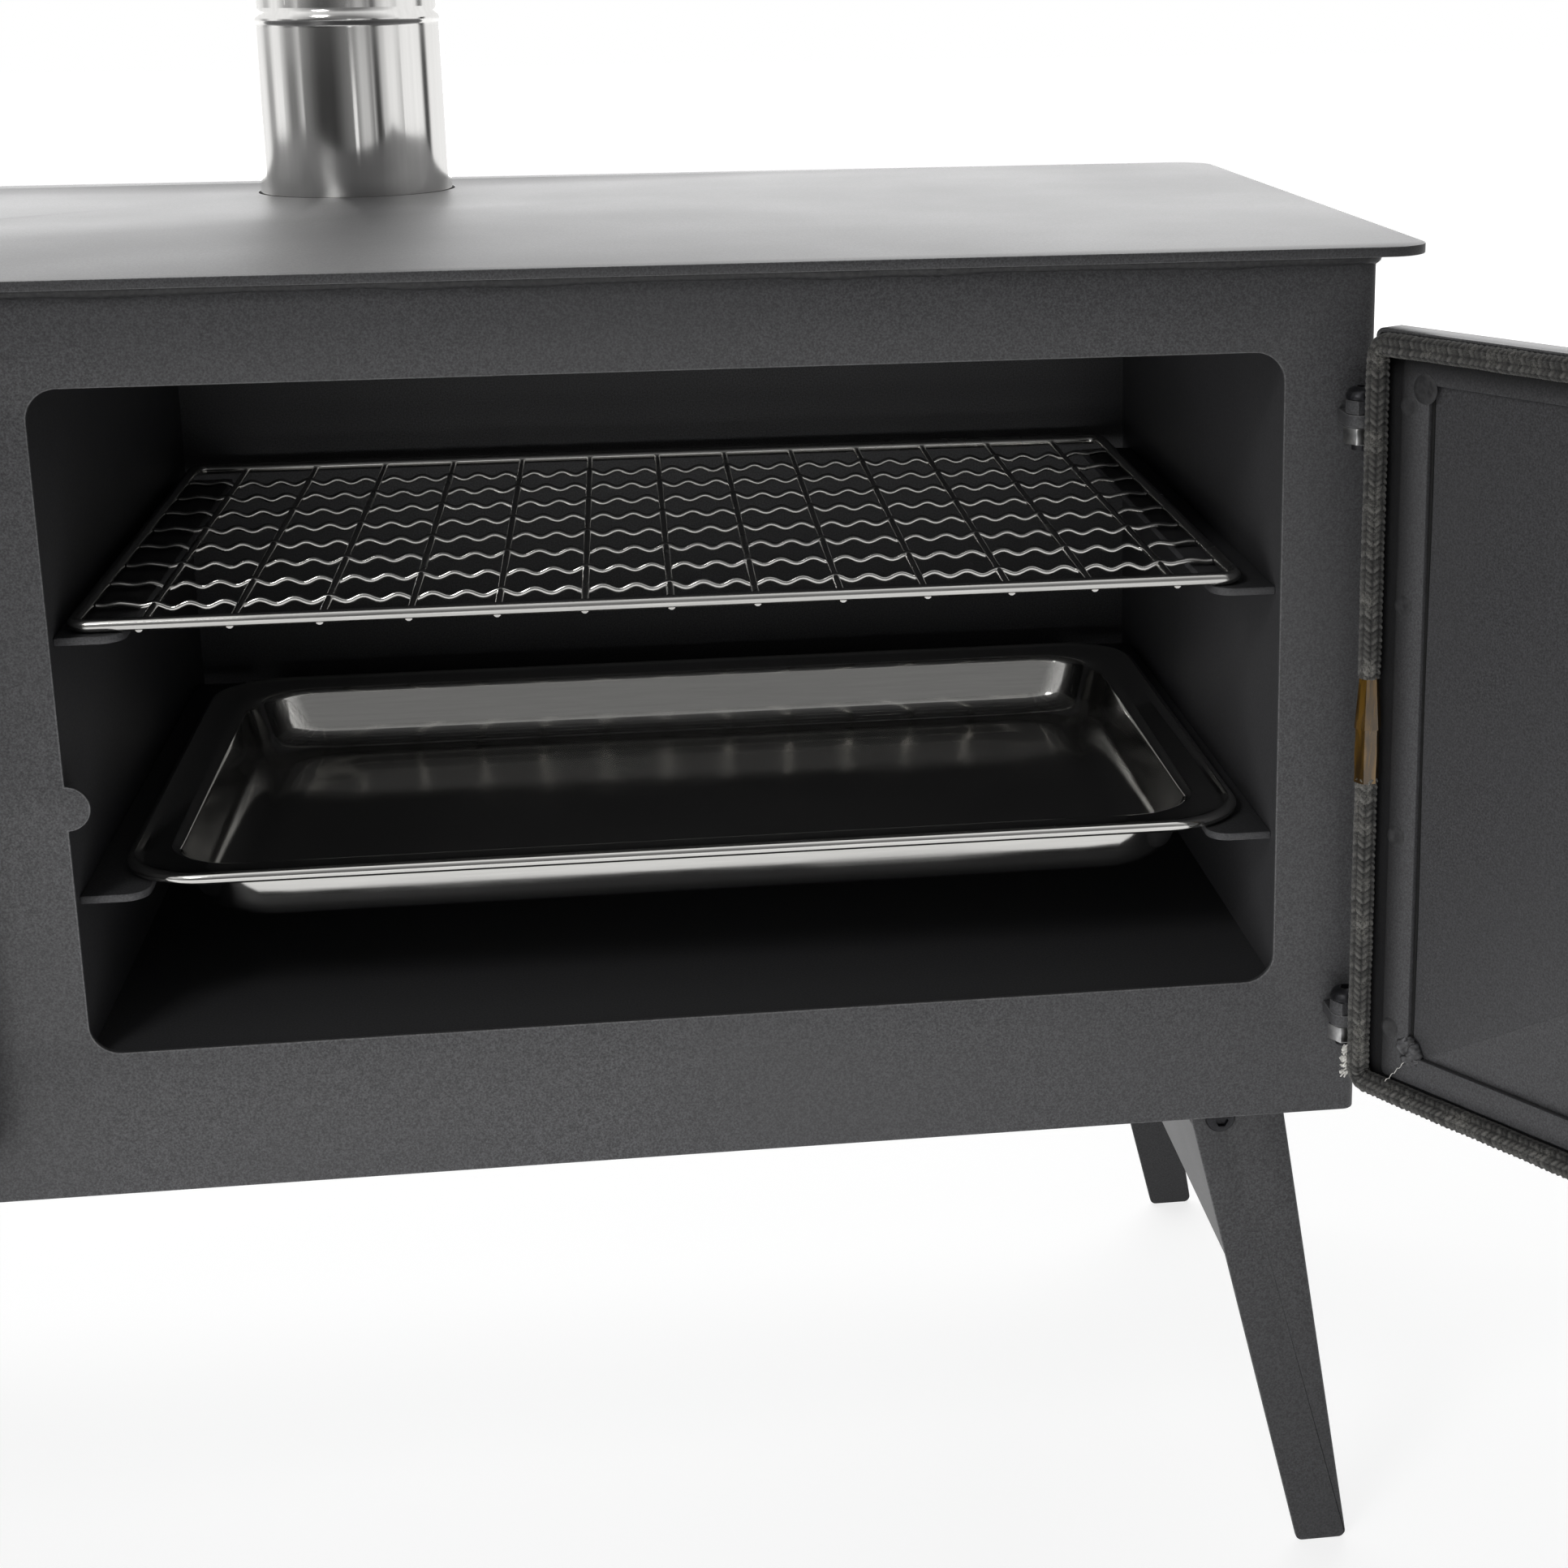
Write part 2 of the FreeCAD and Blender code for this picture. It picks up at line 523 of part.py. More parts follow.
def build_flue():
    """The first flue section: a socket end that drops over the spigot, a rolled bead and the pipe."""
    socket, pipe = "Sizes.flue_socket_radius", "Sizes.flue_radius"
    bead = f"{socket} + Sizes.flue_bead"
    bead_low = "(Sizes.flue_socket_length - Sizes.flue_bead_width)"
    bead_middle = "(Sizes.flue_socket_length - Sizes.flue_bead_width / 2)"
    wall = "Sizes.flue_wall"
    flue = doc.addObject("PartDesign::Body", "body")
    lathe(flue, (socket, "0"), (socket, bead_low), (bead, bead_middle), (pipe, "Sizes.flue_socket_length"),
          (pipe, "Sizes.flue_length"), (f"{pipe} - {wall}", "Sizes.flue_length"),
          (f"{pipe} - {wall}", "Sizes.flue_socket_length"), (f"{socket} - {wall}", bead_low),
          (f"{socket} - {wall}", "0"))
    place(flue, "0", f"{REAR} - Sizes.flue_rear", PLATE_UNDER)
    keep(flue, "flue_pipe")


def build_oven():
    """The oven liner inside the body and the ledges on its walls."""
    skin = "Sizes.oven_sheet"
    height = f"({OVEN_TOP} - {OVEN_FLOOR})"
    outer_width, outer_left = f"{OVEN_WIDTH} + 2 * {skin}", f"{OVEN_WALL_LEFT} - {skin}"
    depth = f"({OVEN_BACK} - {FRONT_INSIDE})"
    keep(box(outer_left, FRONT_INSIDE, f"{OVEN_FLOOR} - {skin}", outer_width, depth, skin), "oven_floor")
    keep(box(outer_left, FRONT_INSIDE, OVEN_TOP, outer_width, depth, skin), "oven_ceiling")
    keep(box(outer_left, FRONT_INSIDE, OVEN_FLOOR, skin, depth, height), "oven_left_wall")
    keep(box(OVEN_WALL_RIGHT, FRONT_INSIDE, OVEN_FLOOR, skin, depth, height), "oven_right_wall")
    back_low, back_height = f"{OVEN_FLOOR} - {skin}", f"{height} + 2 * {skin}"
    keep(box(outer_left, OVEN_BACK, back_low, outer_width, skin, back_height), "oven_back_wall")

    start = f"({FRONT_INSIDE} + Sizes.ledge_setback)"
    length = f"({OVEN_BACK} - Sizes.ledge_rear_gap - {start})"
    for level in ("upper", "lower"):
        under = f"({SILL} + Sizes.{level}_ledge_height - Sizes.ledge_thickness)"
        right = f"({OVEN_WALL_RIGHT} - Sizes.ledge_width)"
        pair = []
        for left, tip in ((OVEN_WALL_LEFT, f"{OVEN_WALL_LEFT} + Sizes.ledge_width"), (right, right)):
            outline = rectangle(left, start, "Sizes.ledge_width", length)
            ledge = extrude("XY", under, "Sizes.ledge_thickness", outline)
            round_edges(ledge, "Sizes.ledge_corner", upright_at(tip, start))
            pair.append(ledge)
        keep(group(*pair), f"{level}_ledges")


def build_rack():
    """The wire rack: a frame wire, the rods under it and the cross wires on the rods."""
    wire, rod, cross = "(Sizes.rack_wire / 2)", "(Sizes.rod_wire / 2)", "(Sizes.cross_wire / 2)"
    left = f"({OVEN_WALL_LEFT} + Sizes.rack_side_gap)"
    front = f"({FRONT} + Sizes.rack_setback)"
    width = f"({OVEN_WIDTH} - Sizes.rack_side_gap - Sizes.rack_right_gap)"
    depth = f"({OVEN_BACK} - Sizes.rack_rear_gap - {front})"
    frame_level = f"({SILL} + Sizes.upper_ledge_height + Sizes.rest_gap + {wire})"
    rod_level = f"({frame_level} - {wire} - {rod})"
    frame = doc.addObject("PartDesign::Body", "body")
    route = rounded(left, front, width, depth, "Sizes.rack_corner")
    loop_bar(frame, "XY", frame_level, route, f"{left} + Sizes.rack_corner", front, wire, "YZ")
    keep(frame, "rack_frame")

    pitch = f"(({width} - 2 * Sizes.rod_margin) / (Sizes.rod_count - 1))"
    rods = []
    for index in range(round(number("Sizes.rod_count"))):
        x = f"{left} + Sizes.rod_margin + {index} * {pitch}"
        rods.append(cylinder(x, f"{front} - {wire}", rod_level, rod, f"{depth} + 2 * {wire}", "y"))
    keep(group(*rods), "rack_rods")

    wires = []
    cross_level = f"({rod_level} + {rod} + {cross})"
    for index in range(round(number("Sizes.cross_count"))):
        y = f"{front} + {index + 1} * {depth} / (Sizes.cross_count + 1)"
        wires.append(cylinder(f"{left} + {wire} + {cross}", y, cross_level, cross,
                              f"{width} - 2 * ({wire} + {cross})", "x"))
    keep(group(*wires), "rack_cross_wires")


def build_tray():
    """The baking tray: a drawn basin, a flat rim and a rolled edge that rests on the lower ledges."""
    left = f"({OVEN_WALL_LEFT} + Sizes.tray_side_gap)"
    front = f"({FRONT} + Sizes.tray_setback)"
    width = f"({OVEN_WIDTH} - Sizes.tray_side_gap - Sizes.tray_right_gap)"
    depth = f"({OVEN_BACK} - Sizes.tray_rear_gap - {front})"
    bead_level = f"({SILL} + Sizes.lower_ledge_height + Sizes.rest_gap + Sizes.tray_bead)"
    bead = "Sizes.tray_bead"
    rim_under = bead_level
    rim_top = f"({rim_under} + Sizes.tray_sheet)"
    floor = f"({rim_top} - Sizes.tray_basin)"

    def basin_outline(inset):
        return rounded(f"({left} + {inset})", f"({front} + {inset})", f"({width} - 2 * {inset})",
                       f"({depth} - 2 * {inset})", "(Sizes.tray_corner - Sizes.tray_slope / 2)")

    tray = doc.addObject("PartDesign::Body", "body")
    outer = tray.newObject("PartDesign::AdditiveLoft", "basin")
    outer.Profile = sketch_at(tray, "XY", floor, [basin_outline("(Sizes.tray_rim + Sizes.tray_slope)")])
    outer.Sections = [sketch_at(tray, "XY", rim_top, [basin_outline("Sizes.tray_rim")])]
    outer.Ruled = True
    doc.recompute()
    outline = rounded(left, front, width, depth, "Sizes.tray_corner")
    pad(tray, "XY", rim_under, "Sizes.tray_sheet", outline)
    inner = tray.newObject("PartDesign::SubtractiveLoft", "hollow")
    thin = "Sizes.tray_sheet"
    low_inset = f"(Sizes.tray_rim + Sizes.tray_slope + {thin})"
    inner.Profile = sketch_at(tray, "XY", f"{floor} + {thin}", [basin_outline(low_inset)])
    inner.Sections = [sketch_at(tray, "XY", rim_top, [basin_outline(f"(Sizes.tray_rim + {thin})")])]
    inner.Ruled = True
    doc.recompute()
    route = rounded(f"({left} + {bead})", f"({front} + {bead})", f"({width} - 2 * {bead})",
                    f"({depth} - 2 * {bead})", f"(Sizes.tray_corner - {bead})")
    loop_bar(tray, "XY", bead_level, route, f"{left} + Sizes.tray_corner", f"{front} + {bead}", bead, "YZ")
    keep(tray, "baking_tray")


class Door:
    """One door, drawn closed in a frame on its hinge axis, then hung and swung open.

    In that frame the door runs along +x or -x, +y points into the stove and z is the height
    above the ground.
    """

    def __init__(self, name, axis_x, far_edge, hand, angle):
        self.name, self.axis_x, self.hand, self.angle = name, axis_x, hand, angle
        # hand is 1 where the door runs to +x from its hinge, -1 where it runs to -x
        self.width = f"({hand} * ({far_edge} - {axis_x}) + Sizes.door_overlap - Sizes.door_gap)"
        self.far_edge = f"({far_edge} - {axis_x})"
        self.latch_x = f"({self.far_edge} - {hand} * Sizes.latch_inset)"
        self.skin_inside = "(-Sizes.door_front + Sizes.door_sheet)"
        self.liner_front = f"({SEAL_BED} - Sizes.door_sheet)"

    def span(self, near, length):
        """The low x of a piece that starts near from the hinge axis and is length long."""
        return f"({near})" if self.hand > 0 else f"(-({near}) - ({length}))"

    def hang(self, piece, label):
        """Put a piece of the door on the hinge axis at the door's angle."""
        piece.Placement = Placement(Vector(), Rotation(Vector(0, 0, 1), 1))
        piece.setExpression(".Placement.Rotation.Angle", self.angle)
        place(piece, self.axis_x, HINGE_Y, "0")
        return keep(piece, f"{self.name}_{label}")

    def outline(self, side_inset, low_inset, radius, top_inset=None):
        """The door's outline, drawn in at its sides, its lower end and its top."""
        width = f"({self.width} - 2 * ({side_inset}))"
        x = self.span(f"Sizes.door_gap + {side_inset}", width)
        z = f"({DOOR_BOTTOM} + {low_inset})"
        height = f"({DOOR_HEIGHT} - ({low_inset}) - ({top_inset or low_inset}))"
        return rounded(x, z, width, height, radius)

    def build(self, skin_holes=(), liner_holes=()):
        """The pan, the liner with its frame strip, the rope seal, the lugs and the latch."""
        shaft_hole = circle(self.latch_x, CATCH, "Sizes.latch_shaft + Sizes.bolt_fit")
        self.build_pan([shaft_hole, *skin_holes])
        thin = "Sizes.door_sheet"
        inner_corner = f"(Sizes.door_corner - {thin})"
        liner = extrude("XZ", self.liner_front, thin, self.outline(thin, thin, inner_corner),
                        shaft_hole, *liner_holes)
        self.hang(liner, "liner")
        side, end, corner = "Sizes.frame_side_inset", "Sizes.frame_end_inset", "Sizes.frame_thickness"
        window = self.outline(f"({side} + Sizes.frame_strip)", f"({end} + Sizes.frame_bottom_strip)", corner,
                              f"({end} + Sizes.frame_top_strip)")
        frame = extrude("XZ", SEAL_BED, "Sizes.frame_thickness", self.outline(side, end, corner), window)
        self.hang(frame, "frame_strip")
        self.build_seal()
        self.build_lugs()
        self.build_latch()

    def build_pan(self, holes):
        """The outer pan with a turned-in rim, cut away round the hinge bolts."""
        skin = "Sizes.door_sheet"
        outer = self.outline("0", "0", "Sizes.door_corner")
        hollow = self.outline(skin, skin, f"(Sizes.door_corner - {skin})")
        pan = extrude("XZ", "-Sizes.door_front", "Sizes.door_depth", outer)
        pocket(pan, "XZ", self.skin_inside, "Sizes.door_depth", hollow)
        pocket(pan, "XZ", "-Sizes.door_front", skin, *holes)
        rim = "2 * Sizes.door_sheet"
        x = self.span("Sizes.door_gap - Sizes.door_sheet", rim)
        for height in HINGE_HEIGHTS:
            joint = f"({SILL} + {height})"
            above = f"({joint} + Sizes.hinge_play / 2 + Sizes.lug_thickness)"
            above_height = "(Sizes.hinge_play + Sizes.bolt_head_height + Sizes.notch_room)"
            below_height = "(Sizes.lug_thickness + Sizes.nut_height + Sizes.bolt_tail + Sizes.notch_room)"
            below = f"({joint} + Sizes.hinge_play / 2 - {below_height})"
            pocket(pan, "XZ", self.skin_inside, "Sizes.door_depth",
                   rectangle(x, above, rim, above_height), rectangle(x, below, rim, below_height))
        self.hang(pan, "pan")

    def build_seal(self):
        """The rope seal, bedded on the liner just over the rim of the pan."""
        seal = doc.addObject("PartDesign::Body", "body")
        level = f"({SEAL_BED} + Sizes.seal_diameter / 2)"
        width = f"({self.width} - 2 * {SEAL_INSET})"
        x = self.span(f"Sizes.door_gap + {SEAL_INSET}", width)
        z = f"({DOOR_BOTTOM} + {SEAL_INSET})"
        route = rounded(x, z, width, f"({DOOR_HEIGHT} - 2 * {SEAL_INSET})", "Sizes.seal_corner")
        loop_bar(seal, "XZ", level, route, f"{x} + Sizes.seal_corner", z, "Sizes.seal_diameter / 2", "YZ")
        self.hang(seal, "rope_seal")

    def build_tape(self):
        """Tape over the two ends of the rope, where they butt on the hinge side."""
        x = f"({self.hand} * (Sizes.door_gap + {SEAL_INSET}))"
        level = f"({SEAL_BED} + Sizes.seal_diameter / 2)"
        radius = "Sizes.seal_diameter / 2"
        sleeves = []
        for lower in (0, 1):
            z = f"({SILL} + Sizes.tape_height - {lower} * Sizes.tape_length)"
            sleeve = cut(
                cylinder(x, level, z, f"{radius} + Sizes.tape_sleeve", "Sizes.tape_length"),
                cylinder(x, level, z, radius, "Sizes.tape_length"),
                box(f"{x} - Sizes.seal_diameter", f"{SEAL_BED} - Sizes.seal_diameter", z,
                    "2 * Sizes.seal_diameter", "Sizes.seal_diameter + Sizes.tape_edge", "Sizes.tape_length"))
            sleeves.append(sleeve)
        self.hang(group(*sleeves), "seal_tape")

    def build_lugs(self):
        """The lugs on the edge of the door that turn on the hinge bolts."""
        lugs = []
        for height in HINGE_HEIGHTS:
            z = f"({SILL} + {height} + Sizes.hinge_play / 2)"
            tall, reach = "Sizes.lug_thickness", "Sizes.lug_radius"
            beyond = f"2 * {reach}"
            bore, gap = "Sizes.bolt_radius + Sizes.bolt_fit", "Sizes.door_gap"
            arm = box(self.span("0", gap), f"-{reach}", z, gap, f"2 * {reach}", tall)
            rim_edge = "(Sizes.door_depth - Sizes.door_front)"
            lugs.append(cut(
                fuse(cylinder("0", "0", z, reach, tall), arm),
                cylinder("0", "0", z, bore, tall),
                box(self.span(gap, beyond), f"-{beyond}", z, beyond, f"2 * {beyond}", tall),
                box(self.span(bore, beyond), rim_edge, z, beyond, beyond, tall)))
        self.hang(group(*lugs), "hinge_lugs")

    def build_latch(self):
        """The latch: a shaft through the door, a cam inside and a handle outside."""
        x, shaft = self.latch_x, "Sizes.latch_shaft"
        cam_y = "(Sizes.hinge_proud + Sizes.sheet + Sizes.cam_room)"
        nut_y = f"({cam_y} + Sizes.cam_thickness)"
        shaft_end = f"({nut_y} + Sizes.latch_nut_height)"
        hub_y = "(-Sizes.handle_standoff - Sizes.handle_hub_length / 2)"
        shoulder_y = "(-Sizes.door_front - Sizes.bolt_fit - Sizes.latch_shoulder_length)"
        bush_length = f"({self.liner_front} - {self.skin_inside})"
        bush = cut(cylinder(x, self.skin_inside, CATCH, "Sizes.latch_bush", bush_length, "y"),
                   cylinder(x, self.skin_inside, CATCH, f"{shaft} + Sizes.bolt_fit", bush_length, "y"))
        self.hang(bush, "latch_bush")
        pin = fuse(cylinder(x, hub_y, CATCH, shaft, f"{shaft_end} - {hub_y}", "y"),
                   cylinder(x, shoulder_y, CATCH, "Sizes.latch_shoulder", "Sizes.latch_shoulder_length", "y"))
        self.hang(pin, "latch_shaft")

        half_cam = "(Sizes.cam_width / 2)"
        thick = "Sizes.cam_thickness"
        arm_length = f"(Sizes.cam_reach - {half_cam})"
        arm = box(f"{x} - {half_cam}", cam_y, f"{CATCH} - {arm_length}", "Sizes.cam_width", thick, arm_length)
        cam = cut(fuse(arm, cylinder(x, cam_y, CATCH, half_cam, thick, "y"),
                       cylinder(x, cam_y, f"{CATCH} - {arm_length}", half_cam, thick, "y")),
                  cylinder(x, cam_y, CATCH, shaft, thick, "y"))
        self.hang(cam, "latch_cam")
        nut = cut(hexagon(x, nut_y, CATCH, "Sizes.latch_nut_corner", "Sizes.latch_nut_height", "y"),
                  cylinder(x, nut_y, CATCH, shaft, "Sizes.latch_nut_height", "y"))
        self.hang(nut, "latch_nut")

        rod_y, rod = "(-Sizes.handle_standoff)", "Sizes.handle_rod"
        rod_x = f"({x})" if self.hand < 0 else f"({x} - Sizes.handle_length)"
        lever = cut(fuse(cylinder(x, hub_y, CATCH, "Sizes.handle_hub", "Sizes.handle_hub_length", "y"),
                         cylinder(rod_x, rod_y, CATCH, rod, "Sizes.handle_length", "x")),
                    cylinder(x, hub_y, CATCH, shaft, "Sizes.handle_hub_length", "y"))
        self.hang(lever, "handle_lever")
        self.build_grip(rod_y, rod)

    def build_grip(self, rod_y, rod):
        """The barrel-shaped wooden grip on the handle rod."""
        thick, thin, length = "Sizes.grip_radius", "Sizes.grip_end_radius", "Sizes.grip_length"
        third = f"({length} / 3)"
        near = f"(Sizes.handle_length - {length})"
        toward_hinge = -self.hand
        barrel = doc.addObject("PartDesign::Body", "body")
        lathe(barrel, (rod, "0"), (thin, "0"), (thick, third), (thick, f"2 * {third}"),
              (thin, length), (rod, length))
        # The barrel stands on Z until it is laid along the rod, so it turns with the door in one step
        start = f"({self.latch_x} + {toward_hinge} * {near})"
        lay = Rotation(Vector(0, 1, 0), 90 * toward_hinge)
        turned = doc.addObject("Part::Compound", "laid_grip")
        barrel.Placement = Placement(Vector(), lay)
        place(barrel, start, rod_y, CATCH)
        turned.Links = [barrel]
        self.hang(turned, "handle_grip")


def build_hinge_hardware(axes):
    """The lugs on the front sheet, the hinge bolts and their nuts, for the hinge axes given."""
    lugs, bolts, nuts = [], [], []
    thick, reach = "Sizes.lug_thickness", "Sizes.lug_radius"
    shank = "Sizes.bolt_radius"
    for axis_x, height in itertools.product(axes, HINGE_HEIGHTS):
        joint = f"({SILL} + {height})"
        lug_low = f"({joint} - Sizes.hinge_play / 2 - {thick})"
        lugs.append(cut(
            fuse(cylinder(axis_x, HINGE_Y, lug_low, reach, thick),
                 box(f"{axis_x} - {reach}", HINGE_Y, lug_low, f"2 * {reach}", "Sizes.hinge_proud", thick)),
            cylinder(axis_x, HINGE_Y, lug_low, f"{shank} + Sizes.bolt_fit", thick)))
        nut_low = f"({lug_low} - Sizes.nut_height)"
        head_low = f"({joint} + 1.5 * Sizes.hinge_play + {thick})"
        tail = f"({nut_low} - Sizes.bolt_tail)"
        bolts.append(button_bolt(axis_x, HINGE_Y, tail, f"{head_low} - {tail}", 1))
        nuts.append(cut(hexagon(axis_x, HINGE_Y, nut_low, "Sizes.nut_corner", "Sizes.nut_height"),
                        cylinder(axis_x, HINGE_Y, nut_low, shank, "Sizes.nut_height")))
    keep(group(*lugs), "hinge_fixed_lugs")
    keep(group(*bolts), "hinge_bolts")
    keep(group(*nuts), "hinge_nuts")


def button_bolt(x, y, z, length, way, axis="z"):
    """A bolt with a domed socket head: its shank starts at x, y, z; way is 1 with the head at its far end."""
    turn = AXIS_TURNS[axis] if way > 0 else AXIS_TURNS[axis].multiply(Rotation(Vector(1, 0, 0), 180))
    shank, head, tall = "Sizes.bolt_radius", "Sizes.bolt_head_radius", "Sizes.bolt_head_height"
    bolt = doc.addObject("PartDesign::Body", "body")
    shoulder = f"({length} + {tall} / 3)"
    crown = f"({length} + {tall})"
    lathe(bolt, ("0", "0"), (shank, "0"), (shank, length), (head, length), (head, shoulder),
          (f"{head} * {DOME_SHARE}", f"{length} + {tall} * {DOME_SHARE}"),
          (f"{head} / 2", crown), ("0", crown))
    corner = "Sizes.bolt_socket"
    half, rise = f"({corner} / 2)", f"({corner} * {HEXAGON_RISE})"
    pocket(bolt, "XY", f"{crown} - {tall} / 2", tall, polygon(
        (corner, "0"), (half, rise), (f"-{half}", rise), (f"-{corner}", "0"),
        (f"-{half}", f"-{rise}"), (half, f"-{rise}")))
    bolt.Placement = Placement(Vector(), turn)
    return place(bolt, x, y, z)


def build_doors():
    """Both doors, their hinges, and what the firebox door carries."""
    oven_axis = f"({HALF_WIDTH} - Sizes.hinge_inset)"
    fire_axis = f"(-{HALF_WIDTH} + Sizes.hinge_inset)"
    oven = Door("oven_door", oven_axis, OVEN_LEFT, -1, "Sizes.oven_door_angle")
    oven.build()
    oven.build_tape()

    fire = Door("fire_door", fire_axis, FIRE_RIGHT, 1, "0")
    middle = f"(({FIRE_LEFT} + {FIRE_RIGHT}) / 2 - {fire_axis})"
    window_low = f"({SILL} + Sizes.window_sill)"

    def pane(margin):
        return rounded(f"({middle} - {WINDOW_WIDTH} / 2 - {margin})", f"({window_low} - {margin})",
                       f"({WINDOW_WIDTH} + 2 * {margin})", f"({WINDOW_HEIGHT} + 2 * {margin})",
                       "Sizes.window_corner")

    air_level = f"({SILL} + Sizes.air_hole_height)"
    holes = []
    for index in range(round(number("Sizes.air_hole_count"))):
        x = f"({middle} + ({index} - (Sizes.air_hole_count - 1) / 2) * Sizes.air_hole_pitch)"
        holes.append(circle(x, air_level, "Sizes.air_hole_radius"))
    fire.build([pane("0"), *holes], [pane("0"), *holes])
    glass = extrude("XZ", fire.skin_inside, "Sizes.glass_thickness", pane("Sizes.glass_margin"))
    fire.hang(glass, "window_glass")
    gasket_start = f"({fire.skin_inside} + Sizes.glass_thickness)"
    gasket = extrude("XZ", gasket_start, f"{fire.liner_front} - {gasket_start}",
                     pane("Sizes.glass_margin"), pane("0"))
    fire.hang(gasket, "window_gasket")
    build_shutter(fire, middle, air_level, holes)
    build_hinge_hardware((oven_axis, fire_axis))


def build_shutter(door, middle, level, holes):
    """The air shutter on the firebox door, its finger tab and the two guides that hold it."""
    play, thick = "Sizes.guide_play", "Sizes.shutter_thickness"
    wide, tall = "Sizes.shutter_width", "Sizes.shutter_height"
    back = f"(-Sizes.door_front - {play})"
    front = f"({back} - {thick})"
    low = f"({level} - {tall} / 2)"
    left = f"({middle} - {wide} / 2)"
    plate = extrude("XZ", front, thick, rectangle(left, low, wide, tall), *holes)
    pad(plate, "XZ", f"{front} - Sizes.shutter_tab", "Sizes.shutter_tab",
        rectangle(left, f"{level} - {tall} / 4", thick, f"{tall} / 2"))
    door.hang(plate, "air_shutter")

    guides = []
    travel = "Sizes.air_hole_pitch / 2"
    lip, strip, skin = "Sizes.guide_lip", "Sizes.guide_height", "Sizes.guide_sheet"
    depth = f"({thick} + 2 * {play} + {skin})"
    start, length = f"({left} - {travel})", f"({wide} + 2 * {travel})"
    for way in (-1, 1):
        edge = f"({level} + {way} * ({tall} / 2 + {play}))"
        bar_low = edge if way > 0 else f"({edge} - {strip})"
        lip_low = f"({edge} - {lip})" if way > 0 else edge
        bar = box(start, f"-Sizes.door_front - {depth}", bar_low, length, depth, strip)
        cover = box(start, f"-Sizes.door_front - {depth}", lip_low, length, skin, lip)
        guides.append(fuse(bar, cover))
    door.hang(group(*guides), "shutter_guides")


def build_firebox():
    """The wall between fire and oven, and the grate on its rails."""
    floor = f"({BOTTOM} + Sizes.sheet)"
    wall_height = f"({OVEN_TOP} + Sizes.oven_sheet - {floor})"
    depth = "Sizes.body_depth - 2 * Sizes.sheet"
    keep(box(PARTITION, FRONT_INSIDE, floor, "Sizes.sheet", depth, wall_height), "firebox_partition")
    rail_top = f"({SILL} - Sizes.grate_drop - Sizes.grate_thickness)"
    rail_low = f"({rail_top} - Sizes.rail_thickness)"
    start = f"({FRONT_INSIDE} + Sizes.rail_setback)"
    inner_left = f"(-{HALF_WIDTH} + Sizes.sheet)"
    rails = []
    rail_length = f"({REAR_INSIDE} - Sizes.rail_rear_gap - {start})"
    for x in (inner_left, f"({PARTITION} - Sizes.rail_width)"):
        rails.append(box(x, start, rail_low, "Sizes.rail_width", rail_length, "Sizes.rail_thickness"))
    keep(group(*rails), "grate_rails")

    left = f"({inner_left} + Sizes.grate_room)"
    width = f"({PARTITION} - {inner_left} - 2 * Sizes.grate_room)"
    grate_front = f"({FRONT_INSIDE} + Sizes.grate_room)"
    length = f"({REAR_INSIDE} - Sizes.grate_rear_gap - {grate_front})"
    grate = box(left, grate_front, rail_top, width, length, "Sizes.grate_thickness")
    pitch = "(Sizes.grate_slot + Sizes.grate_bar)"
    run = f"((Sizes.grate_slot_count - 1) * {pitch} + Sizes.grate_slot)"
    slots = []
    for index in range(round(number("Sizes.grate_slot_count"))):
        x = f"({left} + ({width} - {run}) / 2 + {index} * {pitch})"
        slots.append(box(x, f"{grate_front} + Sizes.grate_border", rail_top, "Sizes.grate_slot",
                         f"{length} - 2 * Sizes.grate_border", "Sizes.grate_thickness"))
    keep(cut(grate, *slots), "fire_grate")


